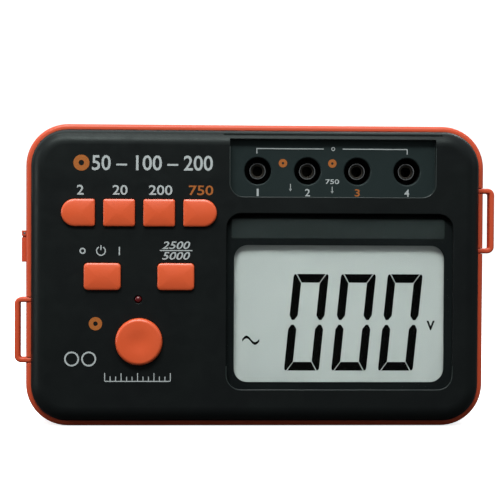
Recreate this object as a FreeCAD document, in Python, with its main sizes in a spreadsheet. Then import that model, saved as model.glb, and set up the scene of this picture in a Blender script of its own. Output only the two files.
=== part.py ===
import FreeCAD, Part
import math
import os

import Sketcher
from FreeCAD import Placement, Rotation, Vector

# Hand-held insulation resistance tester: a tub-shaped rear shell, a black front cover set
# inside its rim, keys, a display behind a window, a bay of four safety sockets, a battery
# bay with its door, a tilt stand and two strap loops. Millimetres.
# X runs to the right, Z up, and the face looks to -Y. The origin is the middle of the flat
# bottom that the tester stands on.

SIZES = {
    # case
    "case_wide": 175.0, "case_high": 115.0, "case_deep": 63.0,
    "case_corner": 16.0, "case_wall": 3.0, "rim_wall": 2.05,
    "rim_round": 1.3, "back_round": 5.0,
    # front cover
    "cover_rise": 6.5, "cover_skirt": 3.0, "cover_wall": 2.5,
    "cover_gap": 0.15, "shoulder": 5.7,
    # display window and display
    "window_left": -11.4, "window_right": 74.8, "window_low": 14.4, "window_high": 81.4,
    "window_corner": 5.7, "window_sink": 1.0, "window_thick": 1.3, "window_gap": 0.1,
    "mask_thick": 0.2, "shelf_thick": 1.7, "shelf_rim": 2.0,
    "view_left": -8.4, "view_right": 71.6, "view_low": 17.3, "view_high": 69.3,
    "view_corner": 5.2, "view_margin": 0.8,
    "glass_margin": 2.0, "glass_thick": 2.8, "glass_gap": 0.2,
    "frame_wall": 1.5, "frame_ledge": 0.9, "strip_thick": 2.0, "strip_inset": 5.0,
    # keys
    "key_pitch": 15.0, "key_first": -66.7, "key_level": 81.3,
    "key_space": 3.2, "key_round_past": 0.8, "key_high": 10.2, "key_corner": 0.8,
    "key_proud": 1.8, "key_travel": 2.5, "key_stop_gap": 1.0, "key_edge": 0.7, "key_flat": 0.05,
    "key_gap": 0.15, "key_lip": 0.6, "key_lip_thick": 1.2, "key_lip_gap": 0.3,
    "button_wide": 13.8, "button_high": 10.1, "button_corner": 1.25,
    "power_x": -57.95, "voltage_x": -30.35, "button_level": 57.3,
    # test button
    "test_x": -44.15, "test_level": 32.8, "test_radius": 8.85, "test_proud": 2.5,
    "test_edge": 1.0, "test_dish": 4.5, "test_dish_deep": 0.7, "test_lip": 0.8,
    "test_shell": 1.6, "test_stem": 2.6,
    "coil_radius": 4.2, "coil_wire": 0.3, "coil_turns": 5.0, "coil_runs": 16.0,
    # switches
    "switch_high": 7.0, "switch_wide": 9.6, "switch_floor": 1.0,
    "test_switch_wide": 12.0, "plunger_wide": 3.0, "plunger_grip": 3.0,
    "plunger_reach": 3.0, "plunger_slack": 0.1, "plunger_fit": 0.02,
    # indicator
    "led_x": -44.5, "led_level": 48.7, "led_radius": 1.5, "led_flange": 1.9,
    "led_tall": 4.5, "led_flange_thick": 1.0, "led_leg": 0.5, "led_leg_gap": 1.27,
    "led_proud": 0.2, "led_gap": 0.05,
    # socket bay
    "bay_left": -10.1, "bay_right": 68.0, "bay_low": 87.4, "bay_high": 109.4,
    "bay_sink": 3.0, "bay_corner": 5.2,
    "jack_first": 0.45, "jack_pitch": 18.95, "jack_level": 97.4,
    "well_radius": 5.05, "well_bevel": 0.35, "well_wall": 1.25, "well_deep": 20.0,
    "jack_base": 2.0, "sleeve_radius": 3.1, "sleeve_sink": 2.5,
    "socket_radius": 2.45, "socket_bore": 2.0, "socket_sink": 1.0, "socket_end": 1.0,
    "socket_fit": 0.03,
    "tail_radius": 0.8, "tail_past": 1.5,
    # boards
    "board_front": 16.5, "board_thick": 1.6, "board_side": 2.7, "board_low": 6.0,
    "board_high": 89.0, "boss_room": 0.5,
    "rest_in": 8.5, "rest_low": 28.0, "rest_high": 80.0, "rest_radius": 2.5,
    "small_screw": 1.25, "small_head": 2.4, "small_head_thick": 1.6, "small_bite": 6.0,
    "thread_fit": 0.02, "hole_slack": 0.25, "drill_past": 1.0, "cut_past": 1.0,
    "jack_board_past": 3.5, "jack_board_half": 7.8, "jack_rest_radius": 2.4,
    # what the main board carries on its back
    "coil_box_x": -31.0, "coil_box_level": 43.0, "coil_box_wide": 28.0,
    "coil_box_high": 26.0, "coil_box_tall": 18.0, "core_wide": 12.0, "core_past": 3.0, "winding_short": 2.0,
    "cap_first": 5.0, "cap_pitch": 13.0, "cap_level": 40.0, "cap_radius": 5.0,
    "cap_tall": 16.0, "buzzer_x": -62.0, "buzzer_level": 34.0, "buzzer_radius": 6.0,
    "buzzer_tall": 8.0, "buzzer_port": 1.0,
    "chip_x": 30.0, "chip_level": 45.0, "chip_wide": 10.0, "chip_thick": 1.6,
    # case screws, their bosses, feet
    "boss_in": 11.5, "boss_low": 9.5, "boss_radius": 4.5, "cover_boss": 3.5,
    "boss_meet": 19.5, "screw_radius": 1.45, "screw_head": 2.75, "screw_head_thick": 2.2,
    "screw_bite": 10.0, "head_room": 3.0, "head_deep": 21.5,
    "foot_radius": 4.0, "foot_gap": 0.1, "foot_seat": 3.0, "foot_proud": 1.0,
    # batteries
    "cell_radius": 7.25, "cell_long": 50.5, "nub_radius": 2.75, "nub_long": 1.0,
    "cell_space": 1.0, "cell_slack": 0.25, "contact_thick": 0.4, "contact_wide": 11.0,
    "contact_coil": 3.2, "contact_wire": 0.35, "contact_gap": 4.2, "contact_turns": 3.0,
    "rib_wide": 8.0, "tray_wall": 2.0, "tray_level": 54.0,
    "door_thick": 2.5, "door_lap": 2.0, "door_gap": 0.2, "door_screw_out": 20.0,
    "door_screw_bite": 8.0, "door_groove": 0.5, "door_groove_wide": 1.4, "door_groove_step": 0.75,
    # tilt stand
    "stand_wide": 5.0, "stand_thick": 3.8, "stand_gap": 0.2, "stand_beside": 1.8,
    "stand_below": 5.5, "stand_pivot": 92.0, "pivot_radius": 1.4, "pivot_long": 1.5,
    "pivot_fit": 0.05, "pivot_end_gap": 0.1, "stand_corner": 4.0, "finger_wide": 18.0, "finger_deep": 2.0,
    "finger_high": 4.0,
    # strap loops
    "loop_long": 25.0, "loop_out": 4.3, "loop_bar": 2.0, "loop_leg": 2.0,
    "loop_corner": 2.6, "loop_deep": 5.0, "loop_anchor": 2.0, "loop_slack": 0.1,
    "loop_left_level": 36.6, "loop_right_level": 78.85,
    # adaptor socket and its hinged cover
    "port_level": 68.4, "port_wide": 9.0, "port_tall": 11.0, "port_long": 14.0,
    "port_nose": 4.0, "port_nose_long": 2.4, "port_bore": 2.75, "port_bore_deep": 11.0,
    "port_pin": 1.0, "port_axis": 6.0, "port_wall_gap": 0.2,
    "flap_low": 62.4, "flap_high": 74.4, "flap_front": 4.5, "flap_long": 18.0,
    "flap_thick": 2.0, "flap_gap": 0.1, "flap_neck": 1.6, "flap_ear": 1.5,
    "flap_barrel": 0.95, "flap_pin": 0.45, "flap_pin_fit": 0.05,
}


class Size:
    """A length with the sheet expression that it is worked out from."""

    def __init__(self, value, text):
        self.value = float(value)
        self.text = text

    def __add__(self, other):
        other = sized(other)
        return Size(self.value + other.value, f"({self.text} + {other.text})")

    def __sub__(self, other):
        other = sized(other)
        return Size(self.value - other.value, f"({self.text} - {other.text})")

    def __mul__(self, other):
        other = sized(other)
        return Size(self.value * other.value, f"({self.text} * {other.text})")

    def __truediv__(self, other):
        other = sized(other)
        return Size(self.value / other.value, f"({self.text} / {other.text})")

    def __neg__(self):
        return self * -1

    def __radd__(self, other):
        return sized(other) + self

    def __rsub__(self, other):
        return sized(other) - self

    def __rmul__(self, other):
        return sized(other) * self


def sized(number):
    """The number itself if it is a Size already, or a plain number as one."""
    if isinstance(number, Size):
        return number
    return Size(number, f"({float(number)!r})")


class Sheet:
    """The driving dimensions, each read as an attribute."""

    def __init__(self, sheet, sizes):
        for row, (alias, value) in enumerate(sizes.items(), 1):
            sheet.set(f"A{row}", alias.replace("_", " "))
            sheet.set(f"B{row}", str(value))
            sheet.setAlias(f"B{row}", alias)
            setattr(self, alias, Size(value, f"{sheet.Name}.{alias}"))


doc = FreeCAD.newDocument("insulation_tester")
d = Sheet(doc.addObject("Spreadsheet::Sheet", "sizes"), SIZES)
doc.recompute()

# planes across the case, from the face to the back
face_y = -d.case_deep / 2
rim_y = face_y + d.cover_rise
back_y = d.case_deep / 2
seat_y = rim_y + d.cover_skirt
wall_y = face_y + d.cover_wall
lens_y = face_y + d.window_sink
shelf_y = lens_y + d.window_thick + d.mask_thick
shelf_back_y = shelf_y + d.shelf_thick
glass_y = shelf_back_y + d.glass_gap
board_y = face_y + d.board_front
board_back_y = board_y + d.board_thick
switch_y = board_y - d.switch_high
meet_y = face_y + d.boss_meet
bay_y = face_y + d.bay_sink
bay_wall_y = bay_y + d.cover_wall
jack_base_y = bay_y + d.well_deep
jack_board_y = jack_base_y + d.jack_base
door_y = back_y - d.door_thick
tray_y = door_y - d.cell_radius * 2 - d.cell_slack * 2
side_x = d.case_wide / 2
inner_x = side_x - d.case_wall
cover_x = side_x - d.rim_wall - d.cover_gap
cover_low = d.rim_wall + d.cover_gap
cover_high = d.case_high - cover_low
cover_corner = d.case_corner - d.rim_wall - d.cover_gap
boss_x = side_x - d.boss_in
boss_spots = [(side * boss_x, level) for side in (-1, 1)
              for level in (d.boss_low, d.case_high - d.boss_low)]
rest_x = side_x - d.rest_in
rest_spots = [(side * rest_x, level) for side in (-1, 1) for level in (d.rest_low, d.rest_high)]
jack_x = [d.jack_first + number * d.jack_pitch for number in range(4)]
jack_rests = [(jack_x[0] + jack_x[1]) / 2, (jack_x[2] + jack_x[3]) / 2]
nodes = []


# ---- drawing and feature helpers ----

def tie(thing, place, length):
    thing.setExpression(place, sized(length).text)


PLANES = {"X": ("YZ_Plane", 1), "Y": ("XZ_Plane", -1), "Z": ("XY_Plane", 1)}


def sketch(body, axis, at):
    """An empty sketch across an axis of the body, at that place along it."""
    role, sign = PLANES[axis]
    plane = next(f for f in body.Origin.OriginFeatures if f.Role == role)
    drawn = body.newObject("Sketcher::SketchObject", "Sketch")
    drawn.AttachmentSupport = [(plane, "")]
    drawn.MapMode = "FlatFace"
    tie(drawn, "AttachmentOffset.Base.z", sized(at) * sign)
    return drawn


def hold(drawn, kind, *where):
    """Adds a constraint whose last value is a Size, and ties it to the sheet."""
    place, length = where[:-1], sized(where[-1])
    index = drawn.addConstraint(Sketcher.Constraint(kind, *place, length.value))
    drawn.setExpression(f"Constraints[{index}]", length.text)


def circle(drawn, across, up, radius):
    across, up, radius = sized(across), sized(up), sized(radius)
    centre = Vector(across.value, up.value, 0)
    ring = drawn.addGeometry(Part.Circle(centre, Vector(0, 0, 1), radius.value), False)
    hold(drawn, "Radius", ring, radius)
    hold(drawn, "DistanceX", -1, 1, ring, 3, across)
    hold(drawn, "DistanceY", -1, 1, ring, 3, up)


def outline(drawn, corners):
    """A closed outline of level and upright sides, anticlockwise.

    Each corner is (across, up) or (across, up, radius)."""
    corners = [tuple(sized(value) for value in corner) for corner in corners]
    points = [Vector(corner[0].value, corner[1].value, 0) for corner in corners]
    radii = [corner[2] if len(corner) > 2 else None for corner in corners]
    count = len(corners)
    ways = [(points[(i + 1) % count] - points[i]).normalize() for i in range(count)]
    sides = []
    for i in range(count):
        after = (i + 1) % count
        start = points[i] + ways[i] * (radii[i].value if radii[i] else 0)
        end = points[after] - ways[i] * (radii[after].value if radii[after] else 0)
        side = drawn.addGeometry(Part.LineSegment(start, end), False)
        if abs(ways[i].x) > abs(ways[i].y):
            drawn.addConstraint(Sketcher.Constraint("Horizontal", side))
            hold(drawn, "DistanceY", -1, 1, side, 1, corners[i][1])
        else:
            drawn.addConstraint(Sketcher.Constraint("Vertical", side))
            hold(drawn, "DistanceX", -1, 1, side, 1, corners[i][0])
        sides.append(side)
    for i in range(count):
        before, after = sides[i - 1], sides[i]
        if not radii[i]:
            drawn.addConstraint(Sketcher.Constraint("Coincident", before, 2, after, 1))
            continue
        come, leave, radius = ways[i - 1], ways[i], radii[i].value
        centre = points[i] + (leave - come) * radius
        left_turn = come.cross(leave).z > 0
        first = centre - (leave if left_turn else -come) * radius
        angle = math.atan2(first.y - centre.y, first.x - centre.x)
        arc = drawn.addGeometry(Part.ArcOfCircle(
            Part.Circle(centre, Vector(0, 0, 1), radius), angle, angle + math.pi / 2), False)
        near, far = (1, 2) if left_turn else (2, 1)
        drawn.addConstraint(Sketcher.Constraint("Tangent", before, 2, arc, near))
        drawn.addConstraint(Sketcher.Constraint("Tangent", arc, far, after, 1))
        hold(drawn, "Radius", arc, radii[i])


def block(drawn, left, right, low, high, radius=None):
    """A rectangle, with all its corners rounded if a radius is given."""
    spots = [(left, low), (right, low), (right, high), (left, high)]
    outline(drawn, [spot + ((radius,) if radius is not None else ()) for spot in spots])


def grow(body, axis, start, end, draw):
    """Adds a prism to the body between two places along an axis."""
    start, end = sized(start), sized(end)
    drawn = sketch(body, axis, end if axis == "Y" else start)
    draw(drawn)
    pad = body.newObject("PartDesign::Pad", "Pad")
    pad.Profile = drawn
    tie(pad, "Length", end - start)
    return pad


def carve(body, axis, start, end, draw):
    """Cuts a prism out of the body between two places along an axis."""
    start, end = sized(start), sized(end)
    drawn = sketch(body, axis, start if axis == "Y" else end)
    draw(drawn)
    pocket = body.newObject("PartDesign::Pocket", "Pocket")
    pocket.Profile = drawn
    tie(pocket, "Length", end - start)
    return pocket


def ease(body, kind, amount, chosen):
    """Rounds (Fillet) or bevels (Chamfer) the edges of the body that chosen() accepts."""
    doc.recompute()
    base = body.Tip
    edges = [f"Edge{i}" for i, edge in enumerate(base.Shape.Edges, 1) if chosen(edge)]
    eased = body.newObject("PartDesign::" + kind, kind)
    eased.Base = (base, edges)
    tie(eased, "Radius" if kind == "Fillet" else "Size", amount)
    return eased


def lies_at(edge, axis, place):
    box = edge.BoundBox
    low, high = getattr(box, axis + "Min"), getattr(box, axis + "Max")
    return abs(low - sized(place).value) < 1e-4 and abs(high - sized(place).value) < 1e-4


def within(edge, left, right, low, high):
    """Whether an edge lies inside a rectangle of the XZ plane."""
    box = edge.BoundBox
    slack = 1e-4
    return (box.XMin > sized(left).value - slack and box.XMax < sized(right).value + slack
            and box.ZMin > sized(low).value - slack and box.ZMax < sized(high).value + slack)


def new_body(node):
    body = doc.addObject("PartDesign::Body", node)
    body.Label = node
    nodes.append(body)
    return body


def put(thing, x, y, z):
    for letter, length in zip("xyz", (x, y, z)):
        tie(thing, "Placement.Base." + letter, length)


def brick(name, xs, ys, zs):
    """A plain box from its lowest and highest X, Y and Z."""
    made = doc.addObject("Part::Box", name)
    for side, (low, high) in zip(("Length", "Width", "Height"), (xs, ys, zs)):
        tie(made, side, sized(high) - sized(low))
    put(made, xs[0], ys[0], zs[0])
    return made


TURNS = {"X": Rotation(Vector(0, 1, 0), 90), "Y": Rotation(Vector(1, 0, 0), -90),
         "Z": Rotation()}


def rod(name, axis, x, y, z, radius, long):
    """A cylinder that starts at a point and runs along an axis."""
    made = doc.addObject("Part::Cylinder", name)
    made.Placement = Placement(Vector(), TURNS[axis])
    tie(made, "Radius", radius)
    tie(made, "Height", long)
    put(made, x, y, z)
    return made


def joined(name, pieces):
    made = doc.addObject("Part::MultiFuse", name)
    made.Shapes = pieces
    return made


def less(name, base, tool):
    made = doc.addObject("Part::Cut", name)
    made.Base, made.Tool = base, tool
    return made


def group(name, pieces):
    made = doc.addObject("Part::Compound", name)
    made.Links = pieces
    return made


def node(made, name):
    made.Label = name
    nodes.append(made)
    return made


def coil(name, axis, x, y, z, radius, wire, turns, long):
    """A coil spring between two planes, of eight-sided wire swept through short runs."""
    radius, wire = radius.value, wire.value
    runs = round(turns.value * d.coil_runs.value)
    rise = (sized(long).value - wire * 2) / runs
    step = math.tau / d.coil_runs.value
    points = [Vector(radius * math.cos(i * step), radius * math.sin(i * step), wire + rise * i)
              for i in range(runs + 1)]
    ahead = (points[1] - points[0]).normalize()
    out = ahead.cross(Vector(0, 0, 1)).normalize()
    up = out.cross(ahead)
    ring = [points[0] + (out * math.cos(i * math.pi / 4) + up * math.sin(i * math.pi / 4)) * wire
            for i in range(8)]
    section = Part.makePolygon(ring + ring[:1])
    made = doc.addObject("Part::Feature", name)
    made.Shape = Part.makePolygon(points).makePipeShell([section], True, False, 1)
    made.Placement = Placement(Vector(*(sized(spot).value for spot in (x, y, z))), TURNS[axis])
    return made


# ---- keys and buttons: caps, plungers, switches ----

def key_corners(middle, level, left, right, high, radii, grown=0.0):
    """A key's outline about its plunger, grown by a margin on every side."""
    low, top = level - high / 2 - grown, level + high / 2 + grown
    left_radius, right_radius = radii[0] + grown, radii[1] + grown
    near, far = middle - left - grown, middle + right + grown
    return [(near, low, left_radius), (far, low, right_radius),
            (far, top, right_radius), (near, top, left_radius)]


half_round = d.key_high / 2 - d.key_flat
key_half = (d.key_pitch - d.key_space) / 2
keys = {}
for number in range(4):
    middle = d.key_first + number * d.key_pitch
    left = key_half + d.key_round_past if number == 0 else key_half
    right = key_half + d.key_round_past if number == 3 else key_half
    radii = (half_round if number == 0 else d.key_corner,
             half_round if number == 3 else d.key_corner)
    keys[f"range_key_{number + 1}"] = (middle, d.key_level, left, right, d.key_high, radii)
for name, middle in (("power_button", d.power_x), ("voltage_button", d.voltage_x)):
    keys[name] = (middle, d.button_level, d.button_wide / 2, d.button_wide / 2,
                  d.button_high, (d.button_corner, d.button_corner))
cap_top_y = face_y - d.key_proud
cap_back_y = switch_y - d.key_travel - d.key_stop_gap
lip_y = wall_y + d.key_lip_gap
grip_y = cap_back_y - d.plunger_grip


def square(drawn, middle, level, wide):
    block(drawn, middle - wide / 2, middle + wide / 2, level - wide / 2, level + wide / 2)


def key_cap(name, place):
    """A moulded cap: its lip stays behind the cover, and its socket grips the plunger."""
    body = new_body(name)
    middle, level = place[0], place[1]
    grow(body, "Y", cap_top_y, cap_back_y, lambda s: outline(s, key_corners(*place)))
    ease(body, "Fillet", d.key_edge, lambda edge: lies_at(edge, "Y", cap_top_y))
    grow(body, "Y", lip_y, lip_y + d.key_lip_thick,
         lambda s: outline(s, key_corners(*place, grown=d.key_lip)))
    carve(body, "Y", grip_y, cap_back_y,
          lambda s: square(s, middle, level, d.plunger_wide + d.plunger_fit * 2))


def plunger(name, middle, level, front_y=grip_y):
    half = d.plunger_wide / 2
    node(brick(name, (middle - half, middle + half), (front_y, switch_y + d.plunger_reach),
               (level - half, level + half)), name)


def switch_hole(drawn, middle, level):
    square(drawn, middle, level, d.plunger_wide + d.plunger_slack * 2)


def switch(name, spots, wide):
    """A sealed push switch, or a row of them on one frame, with a slot for each plunger."""
    body = new_body(name)
    half = wide / 2
    first, last = spots[0], spots[-1]
    grow(body, "Y", switch_y, board_y,
         lambda s: block(s, first[0] - half, last[0] + half, first[1] - half, first[1] + half))
    for middle, level in spots:
        carve(body, "Y", switch_y, board_y - d.switch_floor,
              lambda s, at=(middle, level): switch_hole(s, *at))
    return body


def test_button():
    """A round cap with a dished top, hollow behind for its spring round the stem."""
    body = new_body("test_button")
    top_y = face_y - d.test_proud
    inner_y = top_y + d.test_shell + d.test_dish_deep
    spot = (d.test_x, d.test_level)
    grow(body, "Y", top_y, cap_back_y, lambda s: circle(s, *spot, d.test_radius))
    ease(body, "Fillet", d.test_edge, lambda edge: lies_at(edge, "Y", top_y))
    grow(body, "Y", lip_y, lip_y + d.key_lip_thick,
         lambda s: circle(s, *spot, d.test_radius + d.test_lip))
    carve(body, "Y", inner_y, cap_back_y,
          lambda s: (circle(s, *spot, d.test_radius - d.test_shell),
                     circle(s, *spot, d.test_stem)))
    carve(body, "Y", grip_y, cap_back_y,
          lambda s: square(s, *spot, d.plunger_wide + d.plunger_fit * 2))
    ball = body.newObject("PartDesign::SubtractiveSphere", "Dish")
    # the sphere whose cap is test_dish wide and test_dish_deep deep
    radius = (d.test_dish * d.test_dish + d.test_dish_deep * d.test_dish_deep) / (
        2 * d.test_dish_deep)
    tie(ball, "Radius", radius)
    put(ball, d.test_x, top_y + d.test_dish_deep - radius, d.test_level)
    return inner_y


def controls():
    for name, place in keys.items():
        key_cap(name, place)
    for number in range(4):
        place = keys[f"range_key_{number + 1}"]
        plunger(f"range_plunger_{number + 1}", place[0], place[1])
    switch("range_switch_bank", [keys[f"range_key_{n + 1}"][:2] for n in range(4)],
           d.switch_wide)
    for kind in ("power", "voltage"):
        spot = keys[kind + "_button"][:2]
        plunger(kind + "_plunger", *spot)
        switch(kind + "_switch", [spot], d.switch_wide)
    inner_y = test_button()
    plunger("test_plunger", d.test_x, d.test_level)
    switch("test_switch", [(d.test_x, d.test_level)], d.test_switch_wide)
    node(coil("test_spring", "Y", d.test_x, inner_y, d.test_level, d.coil_radius,
              d.coil_wire, d.coil_turns, switch_y - inner_y), "test_spring")


# ---- front cover ----

def front_cover():
    body = new_body("front_cover")
    grow(body, "Y", face_y, seat_y,
         lambda s: block(s, -cover_x, cover_x, cover_low, cover_high, cover_corner))
    ease(body, "Fillet", d.shoulder, lambda edge: lies_at(edge, "Y", face_y))
    wall = d.cover_wall
    carve(body, "Y", wall_y, seat_y,
          lambda s: block(s, wall - cover_x, cover_x - wall, cover_low + wall,
                          cover_high - wall, cover_corner - wall))
    ease(body, "Fillet", d.shoulder - wall, lambda edge: lies_at(edge, "Y", wall_y)
         and within(edge, wall - cover_x, cover_x - wall, cover_low + wall, cover_high - wall))
    # the back of the socket bay, and the shelf that the window rests on
    grow(body, "Y", wall_y - wall / 2, bay_wall_y,
         lambda s: block(s, d.bay_left - wall, d.bay_right + wall, d.bay_low - wall,
                         cover_high - wall / 2))
    grow(body, "Y", wall_y - wall / 2, shelf_back_y,
         lambda s: block(s, d.window_left - d.shelf_rim, d.window_right + d.shelf_rim,
                         d.window_low - d.shelf_rim, d.window_high + d.shelf_rim,
                         d.window_corner + d.shelf_rim))
    for spot in boss_spots:
        grow(body, "Y", wall_y - wall / 2, meet_y,
             lambda s, at=spot: circle(s, *at, d.cover_boss))
    for spot in rest_spots:
        grow(body, "Y", wall_y - wall / 2, board_y,
             lambda s, at=spot: circle(s, *at, d.rest_radius))
    for across in jack_rests:
        grow(body, "Y", bay_wall_y - wall / 2, jack_board_y,
             lambda s, at=across: circle(s, at, d.jack_level, d.jack_rest_radius))
    carve(body, "Y", face_y, bay_y, lambda s: outline(s, [
        (d.bay_left, d.bay_low, d.bay_corner), (d.bay_right, d.bay_low, d.bay_corner),
        (d.bay_right, d.bay_high), (d.bay_left, d.bay_high)]))
    carve(body, "Y", face_y, shelf_y,
          lambda s: block(s, d.window_left, d.window_right, d.window_low, d.window_high,
                          d.window_corner))
    more = d.view_margin
    carve(body, "Y", shelf_y, shelf_back_y,
          lambda s: block(s, d.view_left - more, d.view_right + more, d.view_low - more,
                          d.view_high + more, d.view_corner + more))
    for place in keys.values():
        carve(body, "Y", face_y, wall_y,
              lambda s, at=place: outline(s, key_corners(*at, grown=d.key_gap)))
    carve(body, "Y", face_y, wall_y,
          lambda s: circle(s, d.test_x, d.test_level, d.test_radius + d.key_gap))
    carve(body, "Y", face_y, wall_y,
          lambda s: circle(s, d.led_x, d.led_level, d.led_radius + d.led_gap))
    carve(body, "Y", bay_y, bay_wall_y, lambda s: [
        circle(s, across, d.jack_level, d.well_radius) for across in jack_x])
    ease(body, "Chamfer", d.well_bevel,
         lambda edge: lies_at(edge, "Y", bay_y) and edge.Curve.TypeId == "Part::GeomCircle"
         and abs(edge.Curve.Radius - d.well_radius.value) < 1e-4)
    thread = d.screw_radius + d.thread_fit
    carve(body, "Y", meet_y - d.screw_bite - d.drill_past, meet_y,
          lambda s: [circle(s, *spot, thread) for spot in boss_spots])
    thread = d.small_screw + d.thread_fit
    carve(body, "Y", board_y - d.small_bite - d.drill_past, board_y,
          lambda s: [circle(s, *spot, thread) for spot in rest_spots])
    carve(body, "Y", jack_board_y - d.small_bite - d.drill_past, jack_board_y,
          lambda s: [circle(s, across, d.jack_level, thread) for across in jack_rests])


# ---- rear shell ----

tray_x = d.rib_wide / 2 + d.cell_long + d.contact_thick * 2 + d.contact_gap
cell_row = d.cell_radius * 2 + d.cell_space
tray_half = cell_row * 2
tray_low, tray_high = d.tray_level - tray_half, d.tray_level + tray_half
stand_inner = tray_x + d.door_lap + d.stand_beside
stand_outer = stand_inner + d.stand_wide
stand_low = tray_low - d.door_lap - d.stand_below - d.stand_wide
groove_y = back_y - d.stand_thick - d.stand_gap
pivot_y = back_y - d.stand_gap / 2 - d.stand_thick / 2
port_y = board_back_y + d.port_axis
flap_y = rim_y + d.flap_front
hinge_x = -side_x - d.flap_gap - d.flap_thick / 2
hinge_z = d.flap_high - d.flap_barrel - d.flap_gap
door_screws = [d.tray_level - d.door_screw_out, d.tray_level + d.door_screw_out]


def stand_outline(drawn, grown):
    """The stand's U, open at the top, grown by a margin."""
    inner, outer = stand_inner - grown, stand_outer + grown
    low, bar = stand_low - grown, stand_low + d.stand_wide + grown
    top = d.stand_pivot + d.stand_thick / 2 + grown
    corner = d.stand_corner
    outline(drawn, [(-outer, low, corner), (outer, low, corner), (outer, top), (inner, top),
                    (inner, bar), (-inner, bar), (-inner, top), (-outer, top)])


def loop_levels(side):
    middle = d.loop_left_level if side < 0 else d.loop_right_level
    low, high = middle - d.loop_long / 2, middle + d.loop_long / 2
    return low, high


def across(side, near, far):
    """Two distances from the middle, as the lower and higher X on that side."""
    return (near, far) if side > 0 else (-far, -near)


def rear_shell():
    body = new_body("rear_shell")
    wall = d.case_wall
    grow(body, "Y", rim_y, back_y,
         lambda s: block(s, -side_x, side_x, 0, d.case_high, d.case_corner))
    ease(body, "Fillet", d.back_round, lambda edge: lies_at(edge, "Y", back_y))
    ease(body, "Fillet", d.rim_round, lambda edge: lies_at(edge, "Y", rim_y))
    carve(body, "Y", rim_y, back_y - wall,
          lambda s: block(s, wall - side_x, side_x - wall, wall, d.case_high - wall,
                          d.case_corner - wall))
    rim = d.rim_wall
    carve(body, "Y", rim_y, seat_y,
          lambda s: block(s, rim - side_x, side_x - rim, rim, d.case_high - rim,
                          d.case_corner - rim))
    inside_y = back_y - wall / 2
    tray = d.tray_wall
    grow(body, "Y", tray_y - tray, inside_y,
         lambda s: block(s, -tray_x - tray, tray_x + tray, tray_low - tray, tray_high + tray))
    grow(body, "Y", groove_y - tray, inside_y, lambda s: stand_outline(s, tray))
    for spot in boss_spots:
        grow(body, "Y", meet_y, inside_y, lambda s, at=spot: circle(s, *at, d.boss_radius))
    shell_back(body)
    shell_sides(body)


def shell_back(body):
    """The battery bay, the door's seat, the stand's groove and the screw holes."""
    lap = d.door_lap
    for side in (-1, 1):
        span = across(side, d.rib_wide / 2, tray_x)
        carve(body, "Y", tray_y, back_y,
              lambda s, at=span: block(s, *at, tray_low, tray_high))
    carve(body, "Y", door_y, back_y,
          lambda s: block(s, -tray_x - lap, tray_x + lap, tray_low - lap, tray_high + lap,
                          lap))
    carve(body, "Y", groove_y, back_y, lambda s: stand_outline(s, d.stand_gap))
    half = d.finger_wide / 2
    carve(body, "Y", back_y - d.finger_deep, back_y,
          lambda s: block(s, -half, half, stand_low - d.finger_high,
                          stand_low + d.stand_gap))
    thread = d.screw_radius + d.thread_fit
    carve(body, "Y", door_y - d.door_screw_bite - d.drill_past, door_y,
          lambda s: [circle(s, 0, level, thread) for level in door_screws])
    carve(body, "Y", back_y - d.foot_seat, back_y,
          lambda s: [circle(s, *spot, d.foot_radius + d.foot_gap) for spot in boss_spots])
    carve(body, "Y", back_y - d.head_deep, back_y - d.foot_seat,
          lambda s: [circle(s, *spot, d.head_room) for spot in boss_spots])
    carve(body, "Y", meet_y, back_y - d.head_deep,
          lambda s: [circle(s, *spot, d.screw_radius + d.hole_slack) for spot in boss_spots])
    for side in (-1, 1):
        span = across(side, stand_outer, stand_outer + d.stand_gap + d.pivot_long)
        carve(body, "X", *span, lambda s: circle(s, pivot_y, d.stand_pivot,
                                                  d.pivot_radius + d.pivot_fit))


def shell_sides(body):
    """The slots for the strap loops, the adaptor's hole and the ears of its cover."""
    slack = d.loop_slack
    for side in (-1, 1):
        low, high = loop_levels(side)
        span = across(side, inner_x - d.cut_past, side_x + d.cut_past)
        for start in (low, high - d.loop_leg):
            carve(body, "Y", rim_y, rim_y + d.loop_deep + slack,
                  lambda s, at=start: block(s, *span, at - slack, at + d.loop_leg + slack))
    carve(body, "X", -side_x, -inner_x,
          lambda s: circle(s, port_y, d.port_level, d.port_nose + d.port_wall_gap))
    ear_low = hinge_z - d.flap_barrel
    for start in (flap_y, flap_y + d.flap_long - d.flap_ear):
        grow(body, "Y", start, start + d.flap_ear,
             lambda s: block(s, hinge_x - d.flap_thick / 2, -side_x + d.case_wall / 2, ear_low,
                             d.flap_high))
    carve(body, "Y", flap_y, flap_y + d.flap_long,
          lambda s: circle(s, hinge_x, hinge_z, d.flap_pin + d.thread_fit))


# ---- display ----

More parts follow.
